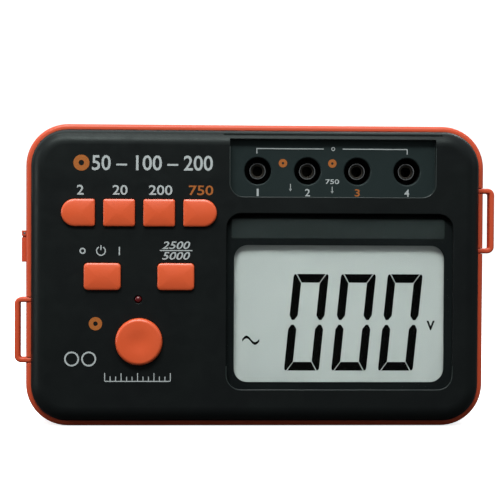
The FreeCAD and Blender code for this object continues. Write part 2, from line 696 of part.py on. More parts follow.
def display():
    gap = d.window_gap
    window = (d.window_left + gap, d.window_right - gap, d.window_low + gap,
              d.window_high - gap, d.window_corner - gap)
    body = new_body("display_window")
    grow(body, "Y", lens_y, lens_y + d.window_thick, lambda s: block(s, *window))
    body = new_body("window_mask")
    grow(body, "Y", lens_y + d.window_thick, shelf_y, lambda s: block(s, *window))
    carve(body, "Y", lens_y + d.window_thick, shelf_y,
          lambda s: block(s, d.view_left, d.view_right, d.view_low, d.view_high,
                          d.view_corner))
    more = d.glass_margin
    left, right = d.view_left - more, d.view_right + more
    low, high = d.view_low - more, d.view_high + more
    glass_back_y = glass_y + d.glass_thick
    body = new_body("display_glass")
    grow(body, "Y", glass_y, glass_back_y, lambda s: block(s, left, right, low, high))
    body = new_body("display_frame")
    out = d.frame_wall + gap
    grow(body, "Y", glass_y, board_y,
         lambda s: block(s, left - out, right + out, low - out, high + out))
    carve(body, "Y", glass_y, glass_back_y,
          lambda s: block(s, left - gap, right + gap, low - gap, high + gap))
    ledge = d.frame_ledge
    carve(body, "Y", glass_back_y, board_y,
          lambda s: block(s, left + ledge, right - ledge, low + ledge, high - ledge))
    ends = (left + d.strip_inset, right - d.strip_inset)
    seat = ledge + gap
    strips = [brick(f"strip_{i}", ends, (glass_back_y, board_y), zs) for i, zs in enumerate((
        (low + seat, low + seat + d.strip_thick), (high - seat - d.strip_thick, high - seat)))]
    node(group("elastomer_strips", strips), "elastomer_strips")


# ---- boards and what they carry ----

def main_board():
    body = new_body("main_board")
    x, low, high = inner_x - d.board_side, d.board_low, d.board_high
    step_x = boss_x - d.boss_radius - d.boss_room
    step_z = d.boss_low + d.boss_radius + d.boss_room
    grow(body, "Y", board_y, board_back_y, lambda s: outline(s, [
        (-step_x, low), (step_x, low), (step_x, step_z), (x, step_z), (x, high), (-x, high),
        (-x, step_z), (-step_x, step_z)]))
    carve(body, "Y", board_y, board_back_y,
          lambda s: [circle(s, *spot, d.small_screw + d.hole_slack) for spot in rest_spots])


def small_screw(name, across, back_y, level):
    """A pan-head screw driven in from behind a board."""
    long = d.small_bite + d.board_thick
    shank = rod(name + "_shank", "Y", across, back_y - long, level, d.small_screw, long)
    head = rod(name + "_head", "Y", across, back_y, level, d.small_head, d.small_head_thick)
    return joined(name, [shank, head])


def board_parts():
    main_board()
    wide, tall = d.coil_box_wide / 2, d.coil_box_tall
    x, level = d.coil_box_x, d.coil_box_level
    winding = brick("winding", (x - wide, x + wide), (board_back_y, board_back_y + tall - d.winding_short),
                    (level - d.coil_box_high / 2 + d.core_past,
                     level + d.coil_box_high / 2 - d.core_past))
    core = brick("core", (x - d.core_wide / 2, x + d.core_wide / 2),
                 (board_back_y, board_back_y + tall),
                 (level - d.coil_box_high / 2, level + d.coil_box_high / 2))
    node(joined("hv_transformer", [winding, core]), "hv_transformer")
    node(group("hv_capacitors", [
        rod(f"capacitor_{i}", "Y", d.cap_first + i * d.cap_pitch, board_back_y, d.cap_level,
            d.cap_radius, d.cap_tall) for i in range(3)]), "hv_capacitors")
    drum = rod("buzzer_drum", "Y", d.buzzer_x, board_back_y, d.buzzer_level, d.buzzer_radius,
               d.buzzer_tall)
    port = rod("buzzer_hole", "Y", d.buzzer_x, board_back_y + d.buzzer_tall - d.buzzer_port,
               d.buzzer_level, d.buzzer_port, d.buzzer_port)
    node(less("buzzer", drum, port), "buzzer")
    half = d.chip_wide / 2
    node(brick("control_chip", (d.chip_x - half, d.chip_x + half),
               (board_y - d.chip_thick, board_y), (d.chip_level - half, d.chip_level + half)),
         "control_chip")
    indicator()


def indicator():
    """The lamp beside the test button, on legs that reach the main board."""
    x, level, radius = d.led_x, d.led_level, d.led_radius
    tip_y = face_y - d.led_proud
    dome = doc.addObject("Part::Sphere", "led_dome")
    tie(dome, "Radius", radius)
    put(dome, x, tip_y + radius, level)
    barrel_y = tip_y + radius
    flange_y = tip_y + d.led_tall
    barrel = rod("led_barrel", "Y", x, barrel_y, level, radius, flange_y - barrel_y)
    flange = rod("led_foot", "Y", x, flange_y, level, d.led_flange, d.led_flange_thick)
    legs_y = flange_y + d.led_flange_thick
    legs = [brick(f"led_leg_{i}", (x + side * d.led_leg_gap - d.led_leg / 2,
                                   x + side * d.led_leg_gap + d.led_leg / 2),
                  (legs_y - d.led_flange_thick / 2, board_y),
                  (level - d.led_leg / 2, level + d.led_leg / 2))
            for i, side in enumerate((-1, 1))]
    node(joined("indicator_lamp", [dome, barrel, flange] + legs), "indicator_lamp")


# ---- sockets for the test leads ----

def jacks():
    level = d.jack_level
    sleeve_y = bay_y + d.sleeve_sink
    socket_y = sleeve_y + d.socket_sink
    outer = d.well_radius + d.well_wall
    for number, x in enumerate(jack_x, 1):
        body = new_body(f"terminal_jack_{number}")
        grow(body, "Y", jack_base_y, jack_board_y, lambda s: circle(s, x, level, outer))
        grow(body, "Y", bay_wall_y, jack_base_y,
             lambda s: (circle(s, x, level, outer), circle(s, x, level, d.well_radius)))
        grow(body, "Y", sleeve_y, jack_base_y,
             lambda s: (circle(s, x, level, d.sleeve_radius),
                        circle(s, x, level, d.socket_radius + d.socket_fit)))
        carve(body, "Y", jack_base_y, jack_board_y,
              lambda s: circle(s, x, level, d.tail_radius + d.hole_slack))
        metal = new_body(f"terminal_socket_{number}")
        grow(metal, "Y", socket_y, jack_base_y, lambda s: circle(s, x, level, d.socket_radius))
        tail_y = jack_board_y + d.board_thick + d.tail_past
        grow(metal, "Y", jack_base_y - d.socket_end, tail_y,
             lambda s: circle(s, x, level, d.tail_radius))
        carve(metal, "Y", socket_y, jack_base_y - d.socket_end,
              lambda s: circle(s, x, level, d.socket_bore))
    body = new_body("terminal_board")
    past = outer + d.jack_board_past
    grow(body, "Y", jack_board_y, jack_board_y + d.board_thick,
         lambda s: block(s, jack_x[0] - past, jack_x[3] + past, level - d.jack_board_half,
                         level + d.jack_board_half))
    carve(body, "Y", jack_board_y, jack_board_y + d.board_thick, lambda s: [
        circle(s, x, level, d.tail_radius + d.hole_slack) for x in jack_x])
    carve(body, "Y", jack_board_y, jack_board_y + d.board_thick, lambda s: [
        circle(s, x, level, d.small_screw + d.hole_slack) for x in jack_rests])


# ---- screws and feet ----

def fasteners():
    spots = [(x, board_back_y, level) for x, level in rest_spots]
    spots += [(x, jack_board_y + d.board_thick, d.jack_level) for x in jack_rests]
    node(group("board_screws", [small_screw(f"board_screw_{i}", *spot)
                                for i, spot in enumerate(spots)]), "board_screws")
    screws, feet = [], []
    head_y = back_y - d.head_deep
    start_y = meet_y - d.screw_bite
    for i, (x, level) in enumerate(boss_spots):
        shank = rod(f"case_shank_{i}", "Y", x, start_y, level, d.screw_radius,
                    head_y - start_y)
        head = rod(f"case_head_{i}", "Y", x, head_y, level, d.screw_head, d.screw_head_thick)
        screws.append(joined(f"case_screw_{i}", [shank, head]))
        feet.append(rod(f"foot_{i}", "Y", x, back_y - d.foot_seat, level, d.foot_radius,
                        d.foot_seat + d.foot_proud))
    node(group("case_screws", screws), "case_screws")
    node(group("rear_feet", feet), "rear_feet")


# ---- batteries ----

def batteries():
    cells, springs, plates = [], [], []
    cell_y = tray_y + d.cell_slack + d.cell_radius
    inner = d.rib_wide / 2
    half = d.contact_wide / 2
    for column, side in enumerate((-1, 1)):
        for row in range(4):
            level = tray_low + cell_row * (row + 0.5)
            name = f"{column}_{row}"
            left, right = across(side, inner, tray_x)
            low, high = left + d.contact_thick, right - d.contact_thick
            tall = (cell_y - half, cell_y + half)
            wide = (level - half, level + half)
            plates.append(brick("plate_low_" + name, (left, low), tall, wide))
            plates.append(brick("plate_high_" + name, (high, right), tall, wide))
            body_long = d.cell_long - d.nub_long
            if (row + column) % 2:
                can_x, nub_x, spring_x = low + d.nub_long, low, high - d.contact_gap
            else:
                can_x, nub_x, spring_x = low + d.contact_gap, high - d.nub_long, low
            can = rod("can_" + name, "X", can_x, cell_y, level, d.cell_radius, body_long)
            nub = rod("nub_" + name, "X", nub_x, cell_y, level, d.nub_radius, d.nub_long)
            cells.append(joined("cell_" + name, [can, nub]))
            springs.append(coil("contact_coil_" + name, "X", spring_x, cell_y, level,
                                d.contact_coil, d.contact_wire, d.contact_turns,
                                d.contact_gap))
    node(group("battery_cells", cells), "battery_cells")
    node(group("battery_springs", springs), "battery_springs")
    node(group("battery_plates", plates), "battery_plates")


def battery_door():
    body = new_body("battery_door")
    edge = d.door_lap - d.door_gap
    grow(body, "Y", door_y, back_y,
         lambda s: block(s, -tray_x - edge, tray_x + edge, tray_low - edge, tray_high + edge,
                         edge))
    for line in (-2, -1, 1, 2):
        level = d.tray_level + line * cell_row * d.door_groove_step
        half = d.door_groove_wide / 2
        inset = d.rib_wide
        for side in (-1, 1):
            span = across(side, inset, tray_x - inset)
            carve(body, "Y", back_y - d.door_groove, back_y,
                  lambda s, at=level: block(s, *span, at - half, at + half))
    sunk_y = back_y - d.screw_head_thick / 2
    carve(body, "Y", sunk_y, back_y,
          lambda s: [circle(s, 0, level, d.head_room) for level in door_screws])
    carve(body, "Y", door_y, sunk_y,
          lambda s: [circle(s, 0, level, d.screw_radius + d.thread_fit * 2)
                     for level in door_screws])
    long = sunk_y - door_y + d.door_screw_bite
    screws = []
    for i, level in enumerate(door_screws):
        shank = rod(f"door_shank_{i}", "Y", 0, sunk_y - long, level, d.screw_radius, long)
        head = rod(f"door_head_{i}", "Y", 0, sunk_y, level, d.screw_head,
                   d.screw_head_thick / 2)
        screws.append(joined(f"door_screw_{i}", [shank, head]))
    node(group("door_screws", screws), "door_screws")


# ---- stand, loops, adaptor socket ----

def tilt_stand():
    body = new_body("tilt_stand")
    half = d.stand_thick / 2
    grow(body, "Y", pivot_y - half, pivot_y + half, lambda s: stand_outline(s, sized(0)))
    ease(body, "Fillet", half - d.pivot_end_gap, lambda edge: edge.BoundBox.YLength < 1e-4
         and lies_at(edge, "Z", d.stand_pivot + half) and edge.BoundBox.XLength > 1)
    for side in (-1, 1):
        span = across(side, stand_outer - d.cut_past, stand_outer + d.stand_gap + d.pivot_long
                      - d.pivot_end_gap)
        grow(body, "X", *span, lambda s: circle(s, pivot_y, d.stand_pivot, d.pivot_radius))


def strap_loop(name, side):
    """A moulded loop whose legs drop into the rim and whose anchor the cover traps."""
    body = new_body(name)
    low, high = loop_levels(side)
    out = side_x + d.loop_out
    inside = side_x - d.rim_wall
    gap = out - d.loop_bar
    corner, leg = d.loop_corner, d.loop_leg
    grow(body, "Y", rim_y, rim_y + d.loop_deep,
         lambda s: outline(s, mirror_if(side, [
             (inside, low), (out, low, corner), (out, high, corner), (inside, high),
             (inside, high - leg), (gap, high - leg, leg / 2), (gap, low + leg, leg / 2),
             (inside, low + leg)])))
    anchor = inner_x - d.loop_slack
    deep = anchor - d.loop_anchor
    join = inside + d.cover_gap
    grow(body, "Y", seat_y + d.loop_slack, rim_y + d.loop_deep,
         lambda s: outline(s, mirror_if(side, [
             (deep, low), (join, low), (join, low + leg),
             (anchor, low + leg), (anchor, high - leg), (join, high - leg), (join, high),
             (deep, high)])))


def mirror_if(side, corners):
    """The corners as given, or mirrored to the left side and still anticlockwise."""
    if side > 0:
        return corners
    return [(-corner[0],) + tuple(corner[1:]) for corner in reversed(corners)]


def adaptor():
    face = -inner_x + d.port_wall_gap
    body = new_body("adaptor_socket")
    half = d.port_wide / 2
    grow(body, "X", face, face + d.port_long,
         lambda s: block(s, board_back_y, board_back_y + d.port_tall, d.port_level - half,
                         d.port_level + half))
    nose = face - d.port_nose_long
    grow(body, "X", nose, face + d.cut_past, lambda s: circle(s, port_y, d.port_level, d.port_nose))
    carve(body, "X", nose, nose + d.port_bore_deep,
          lambda s: (circle(s, port_y, d.port_level, d.port_bore),
                     circle(s, port_y, d.port_level, d.port_pin)))
    cover = new_body("adaptor_cover")
    outer = hinge_x - d.flap_thick / 2
    grow(cover, "Y", flap_y, flap_y + d.flap_long,
         lambda s: block(s, outer, outer + d.flap_thick, d.flap_low, hinge_z - d.flap_neck))
    start, end = flap_y + d.flap_ear + d.flap_gap, flap_y + d.flap_long - d.flap_ear - d.flap_gap
    grow(cover, "Y", start, end,
         lambda s: block(s, outer + d.flap_gap, outer + d.flap_thick - d.flap_gap,
                         hinge_z - d.flap_neck - d.cut_past, hinge_z))
    grow(cover, "Y", start, end, lambda s: circle(s, hinge_x, hinge_z, d.flap_barrel))
    carve(cover, "Y", start, end,
          lambda s: circle(s, hinge_x, hinge_z, d.flap_pin + d.flap_pin_fit))
    node(rod("adaptor_cover_pin", "Y", hinge_x, flap_y, hinge_z, d.flap_pin, d.flap_long),
         "adaptor_cover_pin")


def check_features():
    """Stops on any failed object, and on any cut that removes nothing."""
    for thing in doc.Objects:
        if "Invalid" in thing.State or "Error" in thing.State:
            raise RuntimeError(f"{thing.Name} did not build: {thing.State}")
        if thing.TypeId in ("PartDesign::Pocket", "PartDesign::SubtractiveSphere"):
            before = thing.BaseFeature.Shape.Volume
            if thing.Shape.Volume > before - 1e-6:
                raise RuntimeError(f"{thing.Name} in {thing.getParent().Name} cuts nothing")
    for made in nodes:
        if made.Shape.isNull() or not made.Shape.isValid():
            raise RuntimeError(f"{made.Label} has no valid shape")


front_cover()
rear_shell()
display()
board_parts()
controls()
jacks()
fasteners()
batteries()
battery_door()
tilt_stand()
strap_loop("strap_loop_left", -1)
strap_loop("strap_loop_right", 1)
adaptor()
doc.recompute()
check_features()

os.makedirs("parts", exist_ok=True)
for made in nodes:
    made.Shape.exportStep(f"parts/{made.Label}.step")
    print(made.Label, len(made.Shape.Solids), round(made.Shape.Volume, 1))
print(len(nodes), "nodes")
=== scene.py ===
import math
import bpy
import bmesh
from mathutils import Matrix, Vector


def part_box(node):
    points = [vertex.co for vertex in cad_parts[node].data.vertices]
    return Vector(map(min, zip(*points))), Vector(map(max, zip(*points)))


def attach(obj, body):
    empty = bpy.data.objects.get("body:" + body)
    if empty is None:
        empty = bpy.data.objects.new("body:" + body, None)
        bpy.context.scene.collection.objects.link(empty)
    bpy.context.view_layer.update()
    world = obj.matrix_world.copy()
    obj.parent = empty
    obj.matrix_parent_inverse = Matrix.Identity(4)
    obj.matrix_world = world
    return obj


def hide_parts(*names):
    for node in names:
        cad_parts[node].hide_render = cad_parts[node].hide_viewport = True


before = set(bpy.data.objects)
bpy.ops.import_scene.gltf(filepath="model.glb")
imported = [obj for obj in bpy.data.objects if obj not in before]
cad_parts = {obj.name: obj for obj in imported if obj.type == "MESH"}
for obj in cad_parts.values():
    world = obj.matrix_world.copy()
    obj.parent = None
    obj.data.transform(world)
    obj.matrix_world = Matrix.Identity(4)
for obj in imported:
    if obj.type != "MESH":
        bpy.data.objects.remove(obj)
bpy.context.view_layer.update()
scene = bpy.context.scene
mm = 0.001
print("frame loaded,", len(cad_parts), "parts")


def boxOf(node):
    low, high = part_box(node)
    return low / mm, high / mm


def paint(red, green, blue):
    # screen values 0 to 255 to the linear colour that the shaders take
    values = [v / 255 for v in (red, green, blue)]
    return tuple(v / 12.92 if v < 0.04045 else ((v + 0.055) / 1.055) ** 2.4 for v in values) + (1.0,)


# camera, floor and lights

view = {"place": (-20.12, -524.33, 76.81), "turn": (88.915, -0.274, -2.047), "lens": 94.12}
cameraData = bpy.data.cameras.new("studioCamera")
cameraData.lens = view["lens"]
cameraData.sensor_width = 36.0
cameraData.clip_start = 0.01
cameraData.clip_end = 100.0
camera = bpy.data.objects.new("studioCamera", cameraData)
camera.location = Vector(view["place"]) * mm
camera.rotation_euler = [math.radians(v) for v in view["turn"]]
scene.collection.objects.link(camera)
scene.camera = camera
scene.view_settings.view_transform = "Standard"
scene.view_settings.look = "None"


def addNode(tree, kind, inputs=None, **settings):
    node = tree.nodes.new(kind)
    for name, value in settings.items():
        setattr(node, name, value)
    for name, value in (inputs or {}).items():
        socket = node.inputs[name]
        if isinstance(value, bpy.types.NodeSocket):
            tree.links.new(value, socket)
        else:
            socket.default_value = value
    return node


def mathOf(tree, operation, *values, clamp=False):
    return addNode(tree, "ShaderNodeMath", dict(enumerate(values)), operation=operation,
                   use_clamp=clamp).outputs[0]


def mixOf(tree, share, first, second, blend="MIX"):
    # the Mix node's colour sockets are 6 and 7, and its colour result is 2
    return addNode(tree, "ShaderNodeMix", {0: share, 6: first, 7: second}, data_type="RGBA",
                   blend_type=blend).outputs[2]


def rangeOf(tree, value, low, high, toLow=0.0, toHigh=1.0):
    return addNode(tree, "ShaderNodeMapRange",
                   {"Value": value, "From Min": low, "From Max": high, "To Min": toLow,
                    "To Max": toHigh}).outputs[0]


def placeGroup(tree, group, values=None):
    return addNode(tree, "ShaderNodeGroup", values, node_tree=group).outputs


def noiseOf(tree, place, scale, **more):
    inputs = {"Vector": place, "Scale": scale}
    inputs.update({label.capitalize(): value for label, value in more.items()})
    return addNode(tree, "ShaderNodeTexNoise", inputs).outputs[0]


def bumpOf(tree, strength, distance, height, normal=None):
    # distance in millimetres
    inputs = {"Strength": strength, "Distance": distance * mm, "Height": height}
    if normal:
        inputs["Normal"] = normal
    return addNode(tree, "ShaderNodeBump", inputs).outputs[0]


def shaderMix(tree, share, first, second):
    return addNode(tree, "ShaderNodeMixShader",
                   {0: share, 1: first.outputs[0], 2: second.outputs[0]})


studio = {
    "backdrop": (1.0, 1.0, 1.0, 1.0), "backdropGlow": 1.15,
    "sky": (0.93, 0.97, 1.0, 1.0), "above": 0.62, "level": 0.11, "below": 0.04,
    "lamps": (
        # name, place, aim, width, height, watts
        ("topSoftbox", (-0.10, -0.16, 0.85), (0.0, -0.02, 0.10), 0.70, 0.24, 2.6),
        ("frontHigh", (-0.14, -0.62, 0.80), (0.0, 0.0, 0.06), 0.70, 0.22, 8.0),
        ("leftStrip", (-0.80, -0.18, 0.16), (-0.05, -0.02, 0.06), 0.16, 0.50, 1.6),
        ("rightStrip", (0.85, -0.24, 0.34), (0.05, -0.02, 0.06), 0.16, 0.40, 0.3),
        ("backFill", (0.25, 0.85, 0.55), (0.0, 0.0, 0.06), 0.60, 0.45, 4.2),
    ),
}


def makeStudio():
    world = bpy.data.worlds.new("studioWorld")
    world.use_nodes = True
    tree = world.node_tree
    tree.nodes.clear()
    # the camera sees a plain white backdrop, and the object gets a sky that is bright above
    coords = addNode(tree, "ShaderNodeTexCoord")
    height = addNode(tree, "ShaderNodeSeparateXYZ", {0: coords.outputs["Generated"]}).outputs[2]
    up = rangeOf(tree, height, 0.0, 0.9, studio["level"], studio["above"])
    down = rangeOf(tree, height, -0.5, 0.0, studio["below"], studio["level"])
    low = mathOf(tree, "LESS_THAN", height, 0.0)
    glow = addNode(tree, "ShaderNodeMix", {0: low, 2: up, 3: down}, data_type="FLOAT").outputs[0]
    sky = addNode(tree, "ShaderNodeBackground", {"Color": studio["sky"], "Strength": glow})
    drop = addNode(tree, "ShaderNodeBackground",
                   {"Color": studio["backdrop"], "Strength": studio["backdropGlow"]})
    seen = addNode(tree, "ShaderNodeLightPath").outputs["Is Camera Ray"]
    both = shaderMix(tree, seen, sky, drop)
    addNode(tree, "ShaderNodeOutputWorld", {"Surface": both.outputs[0]})
    scene.world = world
    for name, place, aim, wide, high, watts in studio["lamps"]:
        lampData = bpy.data.lights.new(name, "AREA")
        lampData.shape = "RECTANGLE"
        lampData.size = wide
        lampData.size_y = high
        lampData.energy = watts
        lamp = bpy.data.objects.new(name, lampData)
        lamp.location = place
        lamp.rotation_euler = (Vector(aim) - Vector(place)).to_track_quat("-Z", "Y").to_euler()
        scene.collection.objects.link(lamp)


floorLook = {"radius": 12.0, "sides": 64, "rings": (0.25, 0.6, 1.5, 4.0),
             "seen": paint(250, 250, 250), "lit": paint(66, 66, 66), "glow": 0.83}


def makeFloor():
    body = bmesh.new()
    sides = floorLook["sides"]
    rounds = [[body.verts.new((r * math.cos(2 * math.pi * i / sides),
                               r * math.sin(2 * math.pi * i / sides), 0.0)) for i in range(sides)]
              for r in (*floorLook["rings"], floorLook["radius"])]
    body.faces.new(rounds[0])
    for inner, outer in zip(rounds, rounds[1:]):
        for i in range(sides):
            j = (i + 1) % sides
            body.faces.new((inner[i], outer[i], outer[j], inner[j]))
    mesh = bpy.data.meshes.new("studioFloor")
    body.to_mesh(mesh)
    body.free()
    material = bpy.data.materials.new("paleFloor")
    material.use_nodes = True
    tree = material.node_tree
    tree.nodes.clear()
    coords = addNode(tree, "ShaderNodeTexCoord").outputs["Object"]
    speckle = noiseOf(tree, coords, 900.0)
    tone = rangeOf(tree, speckle, 0.3, 0.7, 0.97, 1.0)
    shade = mixOf(tree, 1.0, floorLook["seen"],
                  addNode(tree, "ShaderNodeCombineColor", {0: tone, 1: tone, 2: tone}).outputs[0],
                  "MULTIPLY")
    face = addNode(tree, "ShaderNodeBsdfPrincipled",
                   {"Base Color": shade, "Roughness": 0.8, "Specular IOR Level": 0.1,
                    "Emission Color": floorLook["seen"], "Emission Strength": floorLook["glow"]})
    # what the floor throws back on the object is less than the camera sees of it
    dull = addNode(tree, "ShaderNodeBsdfDiffuse", {"Color": floorLook["lit"]})
    seen = addNode(tree, "ShaderNodeLightPath").outputs["Is Camera Ray"]
    both = shaderMix(tree, seen, dull, face)
    addNode(tree, "ShaderNodeOutputMaterial", {"Surface": both.outputs[0]})
    mesh.materials.append(material)
    floor = bpy.data.objects.new("studioFloor", mesh)
    scene.collection.objects.link(floor)


makeStudio()
makeFloor()
print("studio ready")


# shader groups, each built once and placed in many materials

def newGroup(name, inputs, outputs):
    group = bpy.data.node_groups.new(name, "ShaderNodeTree")
    for label, value in inputs.items():
        socket = group.interface.new_socket(name=label, in_out="INPUT",
                                            socket_type="NodeSocketFloat")
        socket.default_value = value
    for label, kind in outputs.items():
        group.interface.new_socket(name=label, in_out="OUTPUT", socket_type="NodeSocket" + kind)
    enter = group.nodes.new("NodeGroupInput")
    leave = group.nodes.new("NodeGroupOutput")
    return group, enter.outputs, leave.inputs


def millimetres(tree, turned=(0.0, 0.0, 0.0), stretch=(1.0, 1.0, 1.0)):
    coords = addNode(tree, "ShaderNodeTexCoord").outputs["Object"]
    return addNode(tree, "ShaderNodeMapping",
                   {"Vector": coords, "Rotation": turned,
                    "Scale": [s * 1000.0 for s in stretch]}).outputs[0]


def makeGrain():
    # spark-eroded mould grain, with slow clouding of the tone
    group, given, made = newGroup("mouldGrain", {"Grains per mm": 2.0, "Cloud mm": 18.0},
                                  {"Height": "Float", "Tone": "Float", "Flow": "Float"})
    place = millimetres(group)
    fine = noiseOf(group, place, given["Grains per mm"], detail=3.0, roughness=0.62)
    pits = addNode(group, "ShaderNodeTexVoronoi",
                   {"Vector": place, "Scale": given["Grains per mm"], "Smoothness": 0.6},
                   feature="SMOOTH_F1").outputs[0]
    height = mathOf(group, "ADD", mathOf(group, "MULTIPLY", fine, 0.65),
                    mathOf(group, "MULTIPLY", pits, 0.45))
    group.links.new(height, made["Height"])
    slow = mathOf(group, "DIVIDE", 1.0, given["Cloud mm"])
    cloud = noiseOf(group, place, slow, detail=4.0, distortion=0.4)
    group.links.new(rangeOf(group, cloud, 0.3, 0.7), made["Tone"])
    streaks = noiseOf(group, millimetres(group, stretch=(0.02, 0.05, 0.16)), 1.0, detail=2.0)
    group.links.new(rangeOf(group, streaks, 0.35, 0.65), made["Flow"])
    return group


def makeEdges():
    # rounds sharp edges in the shading, and finds them for wear and, on the keys, for a painted
    # highlight
    group, given, made = newGroup("edgeWearAndSheen", {"Radius mm": 0.3, "Breakup": 0.5},
                                  {"Normal": "Vector", "Wear and sheen": "Float"})
    radius = mathOf(group, "MULTIPLY", given["Radius mm"], mm)
    rounded = addNode(group, "ShaderNodeBevel", {"Radius": radius}, samples=4).outputs[0]
    flat = addNode(group, "ShaderNodeNewGeometry").outputs["Normal"]
    along = addNode(group, "ShaderNodeVectorMath", {0: rounded, 1: flat},
                    operation="DOT_PRODUCT").outputs["Value"]
    edge = rangeOf(group, along, 0.995, 0.86)
    chips = noiseOf(group, millimetres(group), 0.7, detail=5.0, roughness=0.7)
    low = mathOf(group, "MULTIPLY", given["Breakup"], 0.8)
    broken = rangeOf(group, chips, low, mathOf(group, "ADD", low, 0.22))
    group.links.new(mathOf(group, "MULTIPLY", edge, broken, clamp=True), made["Wear and sheen"])
    group.links.new(rounded, made["Normal"])
    return group


def makeHandling():
    # smears from fingers, and dust that settles on what faces up
    group, given, made = newGroup("handling", {"Smear mm": 9.0, "Dust per mm": 1.6},
                                  {"Smear": "Float", "Dust": "Float"})
    place = millimetres(group)
    slow = mathOf(group, "DIVIDE", 1.0, given["Smear mm"])
    smear = noiseOf(group, place, slow, detail=6.0, distortion=1.4)
    group.links.new(rangeOf(group, smear, 0.42, 0.72), made["Smear"])
    facing = addNode(group, "ShaderNodeNewGeometry").outputs["Normal"]
    up = addNode(group, "ShaderNodeSeparateXYZ", {0: facing}).outputs[2]
    specks = noiseOf(group, place, given["Dust per mm"], detail=4.0, roughness=0.75)
    settled = mathOf(group, "MULTIPLY", rangeOf(group, up, 0.25, 0.95),
                     rangeOf(group, specks, 0.44, 0.7), clamp=True)
    group.links.new(settled, made["Dust"])
    return group


grainGroup = makeGrain()
edgeGroup = makeEdges()
handlingGroup = makeHandling()


# materials

def newMaterial(name):
    material = bpy.data.materials.new(name)
    material.use_nodes = True
    material.node_tree.nodes.clear()
    return material, material.node_tree


def closeMaterial(tree, shader):
    addNode(tree, "ShaderNodeOutputMaterial", {"Surface": shader.outputs[0]})


def closePrincipled(tree, inputs):
    closeMaterial(tree, addNode(tree, "ShaderNodeBsdfPrincipled", inputs))


def moulded(name, colour, light, rough=0.45, grains=2.0, depth=0.25, edge=0.3, worn=0.25,
            wearAndSheenColour=None, dust=0.03, specular=0.4, smear=0.08, coat=0.0, metal=0.0,
            cloud=18.0, tint=(1.0, 1.0, 1.0, 1.0), bay=None):
    material, tree = newMaterial(name)
    skin = placeGroup(tree, grainGroup, {"Grains per mm": grains, "Cloud mm": cloud})
    edges = placeGroup(tree, edgeGroup, {"Radius mm": edge})
    hands = placeGroup(tree, handlingGroup)
    body = mixOf(tree, skin["Tone"], colour, light)
    if bay:
        # the sunk bay has its own paint
        parts = addNode(tree, "ShaderNodeSeparateXYZ", {0: millimetres(tree)}).outputs
        inside = mathOf(tree, "COMPARE", parts[1], bay["level"], bay["reach"])
        inside = mathOf(tree, "MULTIPLY", inside,
                        mathOf(tree, "GREATER_THAN", parts[2], bay["bottom"]), clamp=True)
        body = mixOf(tree, inside, body, bay["colour"])
    # lighter edges: wear, and on the keys partly a painted highlight
    body = mixOf(tree, mathOf(tree, "MULTIPLY", edges["Wear and sheen"], worn), body, wearAndSheenColour or light)
    body = mixOf(tree, mathOf(tree, "MULTIPLY", hands["Dust"], dust), body, paint(176, 172, 164))
    smears = mathOf(tree, "MULTIPLY", mathOf(tree, "SUBTRACT", hands["Smear"], 0.5), smear)
    roughness = mathOf(tree, "ADD", mathOf(tree, "ADD", rough, smears),
                       mathOf(tree, "MULTIPLY", skin["Flow"], 0.05), clamp=True)
    bump = bumpOf(tree, depth, 0.06, skin["Height"], edges["Normal"])
    closePrincipled(tree, {"Base Color": body, "Roughness": roughness, "Normal": bump,
                           "Specular IOR Level": specular, "Specular Tint": tint,
                           "Metallic": metal, "Coat Weight": coat, "Coat Roughness": 0.2})
    return material


def metal(name, colour, rough, lines=(0.3, 6.0, 0.3), depth=0.06):
    material, tree = newMaterial(name)
    drawn = noiseOf(tree, millimetres(tree, stretch=lines), 1.5, detail=3.0)
    hands = placeGroup(tree, handlingGroup)
    edges = placeGroup(tree, edgeGroup, {"Radius mm": 0.12})
    dull = [v * 0.72 for v in colour[:3]] + [1.0]
    body = mixOf(tree, rangeOf(tree, drawn, 0.3, 0.7, 0.0, 0.6), colour, dull)
    roughness = mathOf(tree, "ADD", rough,
                       mathOf(tree, "MULTIPLY", hands["Smear"], 0.14), clamp=True)
    bump = bumpOf(tree, depth, 0.04, drawn, edges["Normal"])
    closePrincipled(tree, {"Base Color": body, "Metallic": 1.0, "Roughness": roughness,
                           "Normal": bump})
    return material


def printed(name, colour, thin, shine=0.25):
    # screen-printed ink, a little uneven where the grain shows through
    material, tree = newMaterial(name)
    height = placeGroup(tree, grainGroup, {"Grains per mm": 5.0})["Height"]
    body = mixOf(tree, rangeOf(tree, height, 0.30, 0.62, 0.0, 0.35), colour, thin)
    closePrincipled(tree, {"Base Color": body, "Roughness": 0.5, "Specular IOR Level": shine,
                           "Normal": bumpOf(tree, 0.12, 0.03, height)})
    return material


def clearPlastic(name, tint, rough):
    # lamps shine straight through it on to what lies behind
    material, tree = newMaterial(name)
    smear = placeGroup(tree, handlingGroup)["Smear"]
    roughness = mathOf(tree, "ADD", rough, mathOf(tree, "MULTIPLY", smear, 0.03))
    glass = addNode(tree, "ShaderNodeBsdfPrincipled",
                    {"Base Color": tint, "Roughness": roughness, "IOR": 1.12,
                     "Transmission Weight": 1.0, "Specular IOR Level": 0.5})
    through = addNode(tree, "ShaderNodeBsdfTransparent", {"Color": tint})
    shadow = addNode(tree, "ShaderNodeLightPath").outputs["Is Shadow Ray"]
    closeMaterial(tree, shaderMix(tree, shadow, glass, through))
    return material


